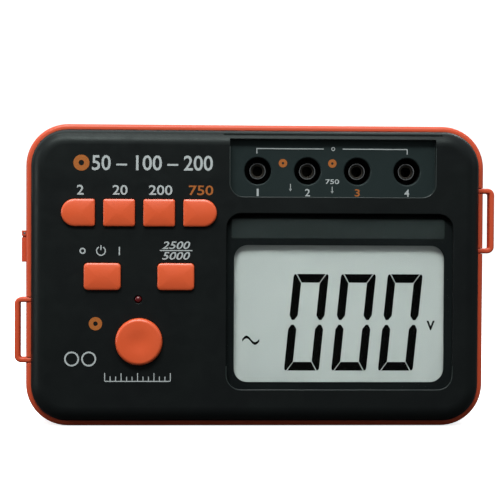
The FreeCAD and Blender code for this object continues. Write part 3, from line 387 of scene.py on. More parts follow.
def displayMaterial(name):
    # the liquid crystal cell over its reflector: a fine electrode grid in a grey-green field
    material, tree = newMaterial(name)
    tone = placeGroup(tree, grainGroup, {"Cloud mm": 30.0})["Tone"]
    grid = addNode(tree, "ShaderNodeTexBrick",
                   {"Vector": millimetres(tree, turned=(math.pi / 2, 0.0, 0.0)), "Scale": 1.0,
                    "Mortar Size": 0.02, "Brick Width": 0.6, "Row Height": 0.6,
                    "Mortar Smooth": 0.3}, offset=0.0).outputs["Fac"]
    field = mixOf(tree, tone, paint(174, 177, 174), paint(171, 175, 172))
    field = mixOf(tree, mathOf(tree, "MULTIPLY", grid, 0.06), field, paint(120, 130, 126))
    roughness = rangeOf(tree, noiseOf(tree, millimetres(tree), 6.0), 0.3, 0.7, 0.42, 0.52)
    closePrincipled(tree, {"Base Color": field, "Roughness": roughness,
                           "Specular IOR Level": 0.3})
    return material


def boardMaterial(name):
    # solder mask over copper runs, with tinned pads
    material, tree = newMaterial(name)
    flat = millimetres(tree, turned=(math.pi / 2, 0.0, 0.0))
    runs = addNode(tree, "ShaderNodeTexBrick",
                   {"Vector": flat, "Scale": 1.0, "Mortar Size": 0.22, "Brick Width": 9.0,
                    "Row Height": 1.6}).outputs["Fac"]
    pads = addNode(tree, "ShaderNodeTexVoronoi", {"Vector": flat, "Scale": 0.32,
                                                  "Randomness": 0.85}).outputs[0]
    pads = rangeOf(tree, pads, 0.17, 0.15)
    body = mixOf(tree, placeGroup(tree, grainGroup)["Tone"], paint(18, 84, 48),
                 paint(22, 98, 56))
    body = mixOf(tree, mathOf(tree, "MULTIPLY", runs, 0.6), body, paint(52, 128, 70))
    body = mixOf(tree, pads, body, paint(196, 196, 190))
    bump = bumpOf(tree, 0.4, 0.05, mathOf(tree, "ADD", runs, pads))
    closePrincipled(tree, {"Base Color": body, "Roughness": 0.32, "Metallic": pads,
                           "Normal": bump})
    return material


def zebraMaterial(name):
    # conductive and insulating layers in turn
    material, tree = newMaterial(name)
    bands = addNode(tree, "ShaderNodeTexWave", {"Vector": millimetres(tree), "Scale": 1.6,
                                                "Distortion": 0.0}).outputs["Fac"]
    body = mixOf(tree, rangeOf(tree, bands, 0.45, 0.55), paint(40, 40, 44), paint(150, 150, 156))
    roughness = rangeOf(tree, placeGroup(tree, grainGroup)["Tone"], 0.0, 1.0, 0.6, 0.75)
    closePrincipled(tree, {"Base Color": body, "Roughness": roughness})
    return material


bayFloor = boxOf("terminal_jack_1")[0].y - 2.5
coverBlack = moulded("coverBlack", paint(17, 19, 20), paint(19, 22, 22), rough=0.42, grains=2.4,
                     depth=0.30, edge=0.45, worn=0.12, wearAndSheenColour=paint(74, 84, 83),
                     dust=0.02, specular=0.21, tint=(0.84, 1.0, 0.95, 1.0),
                     bay={"level": bayFloor, "reach": 0.6,
                          "bottom": boxOf("display_window")[1].z + 4.0,
                          "colour": paint(34, 44, 44)})
# a lighter copy of the cover black for the beads: painted highlight along the lower edges of the
# window seat and bay
lipPaintedHighlight = moulded("lipPaintedHighlight", paint(38, 48, 46), paint(46, 56, 54), rough=0.32, depth=0.08,
                   edge=0.05, worn=0.0, dust=0.0, specular=0.5)
shellOrange = moulded("shellOrange", paint(208, 80, 47), paint(213, 85, 51), rough=0.40,
                      grains=2.0, depth=0.22, edge=0.35, worn=0.30,
                      wearAndSheenColour=paint(240, 138, 98), dust=0.015, cloud=45.0)
# the keys' light edges are partly a painted highlight as well as wear
keyOrange = moulded("keyOrange", paint(226, 92, 49), paint(231, 97, 53), rough=0.32, grains=3.0,
                    depth=0.10, edge=0.25, worn=0.4, wearAndSheenColour=paint(250, 160, 120), dust=0.01,
                    specular=0.6)
jackBlack = moulded("jackBlack", paint(10, 11, 12), paint(16, 18, 18), rough=0.38, depth=0.12,
                    edge=0.2, worn=0.1, dust=0.02)
# grey for the front rim of each black plastic sleeve: a painted highlight on the sleeve edge
sleeveRimHighlight = moulded("sleeveRimHighlight", paint(96, 99, 99), paint(118, 121, 120), rough=0.34,
                     depth=0.10, edge=0.12, worn=0.3, wearAndSheenColour=paint(168, 172, 170), dust=0.0)
standBlack = moulded("standBlack", paint(25, 26, 27), paint(34, 36, 37), rough=0.46, depth=0.30,
                     edge=0.4, worn=0.22, wearAndSheenColour=paint(92, 94, 94))
footRubber = moulded("footRubber", paint(27, 27, 28), paint(38, 38, 38), rough=0.82, grains=4.0,
                     depth=0.45, edge=0.3, worn=0.15, dust=0.2, specular=0.25)
partBlack = moulded("partBlack", paint(24, 24, 25), paint(33, 33, 34), rough=0.5, depth=0.2)
plungerWhite = moulded("plungerWhite", paint(222, 221, 214), paint(234, 233, 228), rough=0.4,
                       depth=0.08, dust=0.02)
frameWhite = moulded("frameWhite", paint(214, 213, 206), paint(226, 225, 219), rough=0.5,
                     depth=0.15, dust=0.02)
canBlue = moulded("canBlue", paint(34, 44, 104), paint(42, 54, 122), rough=0.3, depth=0.05,
                  coat=0.3)
coreDark = moulded("coreDark", paint(52, 50, 50), paint(72, 68, 64), rough=0.62, grains=3.0,
                   depth=0.4)
maskBlack = moulded("maskBlack", paint(22, 26, 27), paint(27, 32, 33), rough=0.5, depth=0.05,
                    edge=0.05, worn=0.0, dust=0.0, specular=0.2)
stripFoil = moulded("stripFoil", paint(27, 34, 33), paint(31, 39, 38), rough=0.42, grains=6.0,
                    depth=0.12, edge=0.05, worn=0.0, dust=0.0, specular=0.3)
lampRed = moulded("lampRed", paint(84, 15, 19), paint(104, 20, 24), rough=0.2, depth=0.02,
                  edge=0.2, worn=0.0, dust=0.0, coat=0.25)
jacketBlack = moulded("jacketBlack", paint(22, 23, 26), paint(30, 31, 34), rough=0.26,
                      grains=1.0, depth=0.03, coat=0.5, worn=0.1)
jacketCopper = moulded("jacketCopper", paint(176, 108, 62), paint(196, 126, 76), rough=0.3,
                       grains=1.0, depth=0.03, coat=0.4, metal=0.6, worn=0.1)
screwSteel = metal("screwSteel", paint(170, 171, 173), 0.32)
springSteel = metal("springSteel", paint(186, 187, 190), 0.26, lines=(4.0, 0.4, 4.0))
plateNickel = metal("plateNickel", paint(184, 178, 160), 0.28)
# nickel darkened for the sockets: painted shade deep inside the bores
socketPaintedShade = metal("socketPaintedShade", paint(84, 80, 72), 0.42)
inkWhite = printed("inkWhite", paint(196, 205, 204), paint(120, 128, 128))
inkAmber = printed("inkAmber", paint(184, 108, 48), paint(118, 70, 34))
inkBlack = printed("inkBlack", paint(2, 2, 2), paint(6, 6, 6), shine=0.03)
windowClear = clearPlastic("windowClear", paint(244, 248, 247), 0.03)
lcdGrey = displayMaterial("lcdGrey")
boardGreen = boardMaterial("boardGreen")
stripGrey = zebraMaterial("stripGrey")

finishes = {
    "cover_black": coverBlack, "shell_orange": shellOrange, "window_clear": windowClear,
    "mask_black": maskBlack, "display_grey": lcdGrey, "frame_white": frameWhite,
    "strip_grey": stripGrey, "board_green": boardGreen, "core_dark": coreDark,
    "capacitor_can": canBlue, "part_black": partBlack, "lamp_red": lampRed,
    "key_orange": keyOrange, "plunger_white": plungerWhite, "spring_steel": springSteel,
    "jack_black": jackBlack, "socket_nickel": plateNickel, "screw_steel": screwSteel,
    "foot_rubber": footRubber, "cell_jacket": jacketBlack, "stand_black": standBlack,
}
for label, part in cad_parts.items():
    for place in part.material_slots:
        place.material = finishes[place.material.name.split(".")[0]]
        # the sockets inside the bores take the darkened nickel, a painted shade
        if label.startswith("terminal_socket"):
            place.material = socketPaintedShade
print("materials ready,", len(bpy.data.materials))


# mesh tools, all in millimetres

def makePiece(name, verts, faces, materials, body, slot, stands=(), sharp=32, choose=None):
    mesh = bpy.data.meshes.new(name)
    mesh.from_pydata([Vector(v) * mm for v in verts], [], faces)
    return finishPiece(name, mesh, materials, body, stands, sharp, choose)


def cleanMesh(mesh, apart, choose=None):
    work = bmesh.new()
    work.from_mesh(mesh)
    bmesh.ops.remove_doubles(work, verts=work.verts, dist=apart)
    bmesh.ops.recalc_face_normals(work, faces=work.faces)
    if choose:
        for face in work.faces:
            face.material_index = choose(face.calc_center_median() / mm)
    work.to_mesh(mesh)
    work.free()


def finishPiece(name, mesh, materials, body, stands=(), sharp=32, choose=None):
    cleanMesh(mesh, 2e-7, choose)
    mesh.polygons.foreach_set("use_smooth", [True] * len(mesh.polygons))
    mesh.set_sharp_from_angle(angle=math.radians(sharp))
    for material in materials if isinstance(materials, (list, tuple)) else [materials]:
        mesh.materials.append(material)
    piece = bpy.data.objects.new(name, mesh)
    scene.collection.objects.link(piece)
    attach(piece, body)
    if stands:
        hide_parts(*stands)
    return piece


def quarterTurn(x, z, radius, start, steps):
    # points of a quarter turn, anticlockwise from start in degrees
    angles = [math.radians(start + 90 * i / steps) for i in range(steps + 1)]
    return [(x + radius * math.cos(a), z + radius * math.sin(a)) for a in angles]


def roundedOutline(x0, x1, z0, z1, radii, steps=8):
    # radii run from the lower left corner, anticlockwise as seen from the front
    points = []
    for (x, z, turn), radius in zip(((x0, z0, 180), (x1, z0, 270), (x1, z1, 0), (x0, z1, 90)),
                                    radii):
        radius = max(radius, 0.03)
        cx = x + radius if x == x0 else x - radius
        cz = z + radius if z == z0 else z - radius
        points += quarterTurn(cx, cz, radius, turn, steps)
    return points


def loft(rings):
    count = len(rings[0])
    verts = [point for ring in rings for point in ring]
    faces = []
    for i in range(len(rings) - 1):
        for j in range(count):
            k = (j + 1) % count
            faces.append((i * count + j, i * count + k, (i + 1) * count + k, (i + 1) * count + j))
    faces.append(tuple(range(count)))
    faces.append(tuple(range((len(rings) - 1) * count, len(rings) * count)))
    return verts, faces


def plateRings(box, radii, levels, steps=8):
    # levels are pairs of inset and depth, from the back to the front
    x0, x1, z0, z1 = box
    rings = []
    for inset, y in levels:
        shrunk = [r - inset for r in radii]
        rings.append([(x, y, z) for x, z in roundedOutline(
            x0 + inset, x1 - inset, z0 + inset, z1 - inset, shrunk, steps)])
    return rings


def revolve(profile, centre, axis="Y", sides=64, closed=False):
    # profile holds pairs of radius and place along the axis
    verts, faces, rows = [], [], []
    for radius, along in profile:
        if radius < 1e-6:
            rows.append([len(verts)])
            verts.append((radius, 0.0, along))
            continue
        rows.append(list(range(len(verts), len(verts) + sides)))
        verts += [(radius * math.cos(2 * math.pi * i / sides),
                   radius * math.sin(2 * math.pi * i / sides), along) for i in range(sides)]
    pairs = list(zip(rows, rows[1:])) + ([(rows[-1], rows[0])] if closed else [])
    for first, second in pairs:
        for i in range(sides):
            j = (i + 1) % sides
            corners = [first[i % len(first)], first[j % len(first)],
                       second[j % len(second)], second[i % len(second)]]
            corners = list(dict.fromkeys(corners))
            if len(corners) > 2:
                faces.append(tuple(corners))
    x, y, z = centre
    if axis == "Y":
        verts = [(x + a, y + h, z + b) for a, b, h in verts]
    else:
        verts = [(x + h, y + a, z + b) for a, b, h in verts]
    return verts, faces


def islandBoxes(node):
    # the box of each separate solid in a part
    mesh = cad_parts[node].data
    work = bmesh.new()
    work.from_mesh(mesh)
    bmesh.ops.remove_doubles(work, verts=work.verts, dist=1e-7)
    found, seen = [], set()
    for start in work.verts:
        if start in seen:
            continue
        group, queue = [], [start]
        seen.add(start)
        while queue:
            point = queue.pop()
            group.append(point.co)
            for edge in point.link_edges:
                other = edge.other_vert(point)
                if other not in seen:
                    seen.add(other)
                    queue.append(other)
        low = Vector([min(c[i] for c in group) for i in range(3)]) / mm
        high = Vector([max(c[i] for c in group) for i in range(3)]) / mm
        found.append((low, high))
    work.free()
    return sorted(found, key=lambda b: (round(b[0].z, 1), round(b[0].x, 1)))


def joinedParts(parts):
    verts, faces = [], []
    for someVerts, someFaces in parts:
        start = len(verts)
        verts += someVerts
        faces += [tuple(i + start for i in face) for face in someFaces]
    return verts, faces


def sweep(points, section):
    # section holds pairs across and deep (y); points run in the XZ plane, mitred at each corner
    rings = []
    for i, (x, z) in enumerate(points):
        before = points[i - 1] if i else points[0]
        after = points[i + 1] if i + 1 < len(points) else points[-1]
        along = Vector((after[0] - before[0], after[1] - before[1])).normalized()
        side = Vector((-along.y, along.x))
        rings.append([(x + side.x * a, b, z + side.y * a) for a, b in section])
    return loft(rings)


# keys and buttons

keyLook = {"lip": 0.6, "lipFront": 4.6, "lipBack": 5.8, "edge": 0.85, "crown": 0.65,
           "crownAcross": 0.12, "crownSteps": 8, "middle": 0.12, "corner": 0.8,
           "halfRound": 5.05, "buttonCorner": 1.5, "edgeSteps": 6}


def softCap(name, node, radii, body):
    low, high = boxOf(node)
    lip, edge, top = keyLook["lip"], keyLook["edge"], low.y
    grown = [r + lip for r in radii]
    levels = [(lip, high.y), (lip, top + keyLook["lipBack"]), (0.0, top + keyLook["lipBack"]),
              (0.0, top + keyLook["lipFront"]), (lip, top + keyLook["lipFront"])]
    levels += quarterTurn(lip + edge, top + edge, edge, 180, keyLook["edgeSteps"])
    most, steps = (high.z - low.z) / 2 - lip - keyLook["middle"], keyLook["crownSteps"]
    for i in range(1, steps + 1):
        levels.append((lip + edge + (most - edge) * i / steps, top))
    verts, faces = loft(plateRings((low.x, high.x, low.z, high.z), grown, levels, steps=10))
    # the top falls away from its middle, mostly up and down
    middle, wide, tall = (low + high) / 2, (high.x - low.x) / 2 - lip, (high.z - low.z) / 2 - lip
    across = keyLook["crownAcross"]

    def settle(x, y, z):
        share = min(1.0, max(0.0, (top + edge - y) / edge))
        fall = across * ((x - middle.x) / wide) ** 2 + (1 - across) * ((z - middle.z) / tall) ** 2
        return x, y + keyLook["crown"] * fall * share, z
    verts = [settle(*v) for v in verts]
    makePiece(name, verts, faces, keyOrange, body, "key_orange", [node], sharp=28)


def makeKeys():
    c, h = keyLook["corner"], keyLook["halfRound"]
    shapes = {1: (h, c, c, h), 2: (c, c, c, c), 3: (c, c, c, c), 4: (c, h, h, c)}
    for number, radii in shapes.items():
        softCap(f"rangeKeyCap{number}", f"range_key_{number}", radii, f"range_key_{number}")
    b = keyLook["buttonCorner"]
    softCap("powerButtonCap", "power_button", (b, b, b, b), "power_button")
    softCap("voltageButtonCap", "voltage_button", (b, b, b, b), "voltage_button")


testLook = {"lip": 0.8, "lipFront": 5.3, "lipBack": 6.5, "edge": 1.3, "dish": 5.75,
            "dishDeep": 0.32, "dishSteps": 12, "edgeSteps": 8, "shell": 1.6, "stem": 2.6,
            "innerDeep": 2.3}


def makeTestButton():
    low, high = boxOf("test_button")
    centre = (low + high) / 2
    radius = (high.x - low.x) / 2 - testLook["lip"]
    top, edge, dish = low.y, testLook["edge"], testLook["dish"]
    profile = [(0.0, top + testLook["dishDeep"])]
    for i in range(1, testLook["dishSteps"] + 1):
        # a shallow dish that runs out softly to the rim
        share = i / testLook["dishSteps"]
        profile.append((dish * share,
                        top + testLook["dishDeep"] * (0.5 + 0.5 * math.cos(math.pi * share))))
    profile += quarterTurn(radius - edge, top + edge, edge, -90, testLook["edgeSteps"])
    inner = radius - testLook["shell"]
    profile += [(radius, top + testLook["lipFront"]),
                (radius + testLook["lip"], top + testLook["lipFront"]),
                (radius + testLook["lip"], top + testLook["lipBack"]),
                (radius, top + testLook["lipBack"]), (radius, high.y), (inner, high.y),
                (inner, top + testLook["innerDeep"]),
                (testLook["stem"], top + testLook["innerDeep"]), (testLook["stem"], high.y),
                (0.0, high.y)]
    verts, faces = revolve(profile, (centre.x, 0.0, centre.z), sides=96)
    makePiece("testButtonCap", verts, faces, keyOrange, "test_button", "key_orange",
              ["test_button"], sharp=28)


makeKeys()
makeTestButton()
print("keys and buttons ready")


# sockets for the leads

socketLook = {"well": 5.05, "bevel": 0.3, "sleeve": 3.1, "bore": 2.48, "sleeveEdge": 0.12,
              "ring": 2.8, "ringDeep": 1.2, "base": 2.0, "tailHole": 1.05}


def makeSockets():
    for number in range(1, 5):
        node = f"terminal_jack_{number}"
        low, high = boxOf(node)
        centre = (low + high) / 2
        outer = (high.x - low.x) / 2
        front, back = low.y, high.y
        floor = back - socketLook["base"]
        well, bevel = socketLook["well"], socketLook["bevel"]
        sleeve, bore, edge = socketLook["sleeve"], socketLook["bore"], socketLook["sleeveEdge"]
        profile = [(outer, back), (outer, front), (well + bevel, front), (well, front + bevel),
                   (well, floor), (sleeve, floor), (sleeve, front + edge),
                   (sleeve - edge * 0.3, front + edge * 0.3), (sleeve - edge, front),
                   (socketLook["ring"], front), (bore + edge, front), (bore, front + edge),
                   (bore, floor),
                   (socketLook["tailHole"], floor), (socketLook["tailHole"], back)]
        verts, faces = revolve(profile, (centre.x, 0.0, centre.z), sides=72, closed=True)

        # faces on the sleeve's front rim take the grey, a painted highlight
        def sleeveFace(at, x=centre.x, z=centre.z, y=front):
            far = math.hypot(at.x - x, at.z - z)
            inRing = socketLook["ring"] < far < socketLook["sleeve"] + 0.01
            return 1 if inRing and at.y < y + socketLook["ringDeep"] else 0
        makePiece(f"socketShroud{number}", verts, faces, [jackBlack, sleeveRimHighlight], "case",
                  "jack_black", [node], choose=sleeveFace)


makeSockets()
print("sockets ready")


# display, its window and the figures

windowLook = {"corner": 5.6, "edge": 0.28,
              "strip": (2.0, 3.0, 57.4, 64.8), "stripThick": 0.025, "stripCorner": 0.5}


def makeWindow():
    low, high = boxOf("display_window")
    r, edge = windowLook["corner"], windowLook["edge"]
    levels = [(0.0, high.y), (0.0, low.y + edge), (edge * 0.3, low.y + edge * 0.3),
              (edge, low.y)]
    verts, faces = loft(plateRings((low.x, high.x, low.z, high.z), (r,) * 4, levels, steps=12))
    makePiece("windowLens", verts, faces, windowClear, "case", "window_clear",
              ["display_window"], sharp=20)
    # the bare strip above the display lies on the mask, under the window
    left, right, bottom, top = windowLook["strip"]
    box = (low.x + left, high.x - right, low.z + bottom, low.z + top)
    thick, corner, under = windowLook["stripThick"], windowLook["stripCorner"], high.y
    levels = [(0.0, under + thick), (0.0, under - thick * 0.6), (thick * 0.5, under - thick)]
    verts, faces = loft(plateRings(box, (corner,) * 4, levels, steps=4))
    makePiece("windowStrip", verts, faces, stripFoil, "case", "mask_black", sharp=20)


digitLook = {"left": (24.86, 42.94, 60.87), "top": 43.05, "high": 36.9, "wide": 13.4,
             "upright": 3.15, "bar": 3.3, "gap": 0.40, "slant": 0.0985, "corner": 0.85,
             "tip": 0.95, "middleGap": 1.6, "thick": 0.05, "sunk": 0.02}


def digitShapes():
    # one zero: a top bar, a bottom bar and four uprights, before they are slanted
    w, h, t, b = (digitLook[k] for k in ("wide", "high", "upright", "bar"))
    g, c, tip, m = (digitLook[k] for k in ("gap", "corner", "tip", "middleGap"))
    half = h / 2
    top = [(c + g, h), (w - c - g, h), (w - t - g * 0.4, h - b), (t + g * 0.4, h - b)]
    upright = [(c, h - 0.02), (c * 0.5, h - 0.12), (0.1, h - 0.55), (0.0, h - 1.3),
               (0.0, half + m + tip * 1.1), (t * 0.32, half + m * 0.55),
               (t * 0.62, half + m * 0.55), (t, half + m + tip), (t, h - b - g * 0.6)]
    shapes = [top, [(x, h - z) for x, z in top][::-1]]
    for flipX in (False, True):
        for flipZ in (False, True):
            shape = [(w - x if flipX else x, h - z if flipZ else z) for x, z in upright]
            shapes.append(shape[::-1] if flipX != flipZ else shape)
    return shapes


def prism(points, front, back):
    count = len(points)
    verts = [(x, front, z) for x, z in points] + [(x, back, z) for x, z in points]
    faces = [tuple(range(count)), tuple(range(count, 2 * count))]
    for i in range(count):
        j = (i + 1) % count
        faces.append((i, j, count + j, count + i))
    return verts, faces


def makeDigits():
    low = boxOf("display_glass")[0]
    front, top = low.y - digitLook["thick"], low.z + digitLook["top"]
    parts = []
    for left in digitLook["left"]:
        for shape in digitShapes():
            placed = []
            for x, z in shape:
                level = top - digitLook["high"] + z
                placed.append((low.x + left + x - (top - level) * digitLook["slant"], level))
            parts.append(prism(placed, front, low.y + digitLook["sunk"]))
    verts, faces = joinedParts(parts)
    makePiece("displayDigits", verts, faces, inkBlack, "case", "mask_black", sharp=20)


lipLook = {"bead": 0.17, "back": 0.08, "bayLeft": 10.55, "bayRight": 10.70, "bayBelow": 10.0,
           "bayCorner": 5.2, "bayTall": 19.0, "windowTall": 9.0, "turnSteps": 8}


def makeLips():
    # a fine bead along the lower edges of the window seat and of the open bay, lighter than the
    # cover black: a painted highlight where the upward-facing seat walls catch the top light
    face = boxOf("front_cover")[0].y + lipLook["back"]
    bead = lipLook["bead"]
    around = [(bead * math.cos(2 * math.pi * i / 10), bead * math.sin(2 * math.pi * i / 10))
              for i in range(10)]
    window = boxOf("display_window")
    first, last = boxOf("terminal_jack_1"), boxOf("terminal_jack_4")
    level = (first[0].z + first[1].z) / 2
    steps = lipLook["turnSteps"]
    for name, left, right, low, turn, tall in (
            ("windowHighlightLip", window[0].x, window[1].x, window[0].z, windowLook["corner"],
             lipLook["windowTall"]),
            ("bayHighlightLip", (first[0].x + first[1].x) / 2 - lipLook["bayLeft"],
             (last[0].x + last[1].x) / 2 + lipLook["bayRight"], level - lipLook["bayBelow"],
             lipLook["bayCorner"], lipLook["bayTall"])):
        path = [(left, low + tall)]
        path += quarterTurn(left + turn, low + turn, turn, 180, steps)
        path += quarterTurn(right - turn, low + turn, turn, 270, steps)
        path.append((right, low + tall))
        verts, faces = sweep(path, [(a, face + b) for a, b in around])
        makePiece(name, verts, faces, lipPaintedHighlight, "case", "cover_black", sharp=60)


makeWindow()
makeLips()
makeDigits()
print("display ready")


# printed marks

def textMesh(text, box, front, thick, bold=0.0, slant=0.0):
    # a line of figures, stretched to fill its box
    words = bpy.data.curves.new("words", "FONT")
    words.body = text
    words.size = 1.0
    words.offset = bold
    words.shear = slant
    words.resolution_u = 4
    words.extrude = 0.5
    holder = bpy.data.objects.new("words", words)
    scene.collection.objects.link(holder)
    bpy.context.view_layer.update()
    shape = bpy.data.meshes.new_from_object(holder.evaluated_get(
        bpy.context.evaluated_depsgraph_get()))
    bpy.data.objects.remove(holder)
    xs = [v.co.x for v in shape.vertices]
    ys = [v.co.y for v in shape.vertices]
    x0, x1, z0, z1 = box
    wide, high = max(xs) - min(xs), max(ys) - min(ys)
    verts = [(x0 + (v.co.x - min(xs)) / wide * (x1 - x0), front + thick * (0.5 - v.co.z),
              z0 + (v.co.y - min(ys)) / high * (z1 - z0)) for v in shape.vertices]
    faces = [tuple(face.vertices) for face in shape.polygons]
    bpy.data.meshes.remove(shape)
    return verts, faces


def ringShape(x, z, outer, inner, front, back, sides=40, arc=(0, 360)):
    # a flat ring, or part of one
    start, end = (math.radians(v) for v in arc)
    whole = arc[1] - arc[0] >= 360
    count = sides if whole else sides + 1
    verts, faces = [], []
    for i in range(count):
        angle = start + (end - start) * i / sides
        for radius, y in ((outer, front), (outer, back), (inner, back), (inner, front)):
            verts.append((x + radius * math.cos(angle), y, z + radius * math.sin(angle)))
    for i in range(sides):
        j = (i + 1) % count
        for k in range(4):
            m = (k + 1) % 4
            faces.append((i * 4 + k, j * 4 + k, j * 4 + m, i * 4 + m))
    if not whole:
        faces += [(0, 1, 2, 3), tuple(sides * 4 + k for k in range(4))]
    return verts, faces


def barShape(x0, x1, z0, z1, front, back):
    return prism([(x0, z0), (x1, z0), (x1, z1), (x0, z1)], front, back)


printLook = {
    "thick": 0.05, "sunk": 0.02, "bold": 0.012,
    "heading": ("50 – 100 – 200", (-62.0, -16.6, 97.2, 102.9)),
    "headingDot": (-65.9, 100.0, 3.0),
    "ranges": (("2", (-67.6, -65.0, 88.0, 91.7)), ("20", (-54.2, -48.6, 88.0, 91.7)),
               ("200", (-40.6, -31.8, 88.0, 91.7))),
    "lastRange": ("750", (-25.6, -16.4, 88.0, 91.7)),
    "powerMark": (-58.5, 66.9, 1.85), "powerEnds": (-65.4, -51.6),
    "upperVolts": ("2500", (-35.6, -25.0, 67.7, 70.6)),
    "lowerVolts": ("5000", (-35.6, -25.0, 63.7, 66.6)),
    "voltsBar": (-36.4, -24.2, 66.95, 67.35),
    "smallDot": (-60.5, 39.5, 2.5),
    "scale": (-57.0, -32.3, 17.6, 20.9, 13),
    "rings": ((-69.4, 26.2), (-63.0, 26.2)), "ringSize": (2.8, 2.2),
    "lcdWave": (-5.1, 1.4, 31.0, 35.0), "waveHalf": 0.55, "waveSteps": 24, "waveSwing": 0.62,
    "lcdUnit": ("V", (65.4, 68.6, 36.9, 40.6)), "unitBold": 0.035,
    "stroke": 0.22, "barHalf": 0.24, "tickHalf": 0.17, "scaleLine": 0.35,
}


def makePrint():
    face = boxOf("front_cover")[0].y
    front, back = face - printLook["thick"], face + printLook["sunk"]
    thick = back - front
    bold, stroke = printLook["bold"], printLook["stroke"]
    white = [textMesh(*printLook["heading"], front, thick, bold)]
    for text, box in printLook["ranges"]:
        white.append(textMesh(text, box, front, thick, bold))
    white.append(textMesh(*printLook["upperVolts"], front, thick, bold, 0.25))
    white.append(textMesh(*printLook["lowerVolts"], front, thick, bold, 0.25))
    white.append(barShape(*printLook["voltsBar"], front, back))
    x, z, r = printLook["powerMark"]
    white.append(ringShape(x, z, r, r * 0.76, front, back, arc=(120, 420)))
    white.append(barShape(x - stroke, x + stroke, z + r * 0.2, z + r * 1.15, front, back))
    left, right = printLook["powerEnds"]
    white.append(ringShape(left, z, r * 0.62, r * 0.36, front, back))
    half = printLook["barHalf"]
    white.append(barShape(right - half, right + half, z - r * 0.85, z + r * 0.85, front, back))
    x0, x1, z0, z1, count = printLook["scale"]
    line, half = printLook["scaleLine"], printLook["tickHalf"]
    white.append(barShape(x0, x1, z0, z0 + line, front, back))
    for i in range(count):
        x = x0 + (x1 - x0) * i / (count - 1)
        tall = z1 if i % 3 == 0 else z0 + (z1 - z0) * 0.6
        white.append(barShape(x - half, x + half, z0 + line, tall, front, back))
    outer, inner = printLook["ringSize"]
    for x, z in printLook["rings"]:
        white.append(ringShape(x, z, outer, inner, front, back))
    makePiece("coverPrintWhite", *joinedParts(white), inkWhite, "case", "cover_black", sharp=30)
    amber = [textMesh(*printLook["lastRange"], front, thick, bold)]
    for x, z, r in (printLook["headingDot"], printLook["smallDot"]):
        amber.append(ringShape(x, z, r, r * 0.34, front, back))
    makePiece("coverPrintAmber", *joinedParts(amber), inkAmber, "case", "cover_black", sharp=30)


bayPrint = {"line": 0.35, "bracket": ((-0.1, 25.5), (32.7, 57.5)), "level": 105.9,
            "hook": 1.9, "figures": (87.9, 90.7), "figureWide": 1.9,
            "dots": ((10.0, 100.4), (28.8, 100.4)), "dot": 1.6,
            "volts": ("750", (26.2, 31.4, 92.6, 94.4)),
            "arrows": ((12.9, 89.8, 92.6), (28.8, 89.0, 91.6)), "arrowHead": (0.55, 0.9),
            "gapRing": (0.75, 0.42), "oneNarrow": 0.4}


def makeBayPrint():
    front, back = bayFloor - printLook["thick"], bayFloor + printLook["sunk"]
    thick, line = back - front, bayPrint["line"]
    level = bayPrint["level"]
    white = []
    for start, end in bayPrint["bracket"]:
        white.append(barShape(start, end, level - line / 2, level + line / 2, front, back))
    first, last = bayPrint["bracket"][0][0], bayPrint["bracket"][1][1]
    for x in (first + line / 2, last - line / 2):
        white.append(barShape(x - line / 2, x + line / 2, level - bayPrint["hook"],
                              level - line / 2, front, back))
    middle = (bayPrint["bracket"][0][1] + bayPrint["bracket"][1][0]) / 2
    white.append(ringShape(middle, level, *bayPrint["gapRing"], front, back))
    white.append(textMesh(*bayPrint["volts"], front, thick, printLook["bold"]))
    half, tip = bayPrint["arrowHead"]
    for x, low, high in bayPrint["arrows"]:
        white.append(barShape(x - line * 0.4, x + line * 0.4, low + tip * 0.5, high, front, back))
        white.append(prism([(x, low), (x + half, low + tip), (x - half, low + tip)], front, back))
    z0, z1 = bayPrint["figures"]
    amber = []
    for number in range(1, 5):
        low, high = boxOf(f"terminal_jack_{number}")
        x, half = (low.x + high.x) / 2, bayPrint["figureWide"] / 2
        if number == 1:
            half *= bayPrint["oneNarrow"]
        shape = textMesh(str(number), (x - half, x + half, z0, z1), front, thick,
                         printLook["bold"])
        (amber if number == 3 else white).append(shape)
    for x, z in bayPrint["dots"]:
        amber.append(ringShape(x, z, bayPrint["dot"], bayPrint["dot"] * 0.3, front, back))
    makePiece("bayPrintWhite", *joinedParts(white), inkWhite, "case", "cover_black", sharp=30)
    makePiece("bayPrintAmber", *joinedParts(amber), inkAmber, "case", "cover_black", sharp=30)


def makeDisplayMarks():
    low = boxOf("display_glass")[0]
    front, back = low.y - digitLook["thick"], low.y + digitLook["sunk"]
    thick = back - front
    x0, x1, z0, z1 = printLook["lcdWave"]
    middle, tall = (z0 + z1) / 2, (z1 - z0) / 2
    upper, lower = [], []
    steps = printLook["waveSteps"]
    for i in range(steps + 1):
        x = x0 + (x1 - x0) * i / steps
        z = middle + tall * printLook["waveSwing"] * math.sin(2 * math.pi * i / steps)
        upper.append((x, z + printLook["waveHalf"]))
        lower.append((x, z - printLook["waveHalf"]))
    parts = [prism(upper + lower[::-1], front, back),
             textMesh(*printLook["lcdUnit"], front, thick, printLook["unitBold"])]
    makePiece("displayMarks", *joinedParts(parts), inkBlack, "case", "mask_black", sharp=30)


makePrint()
makeBayPrint()
makeDisplayMarks()
print("printed marks ready")


# strap loops

loopLook = {"bar": 2.0, "corner": 2.6, "edge": 0.7, "turnSteps": 8, "root": 2.0, "straight": 1.0}


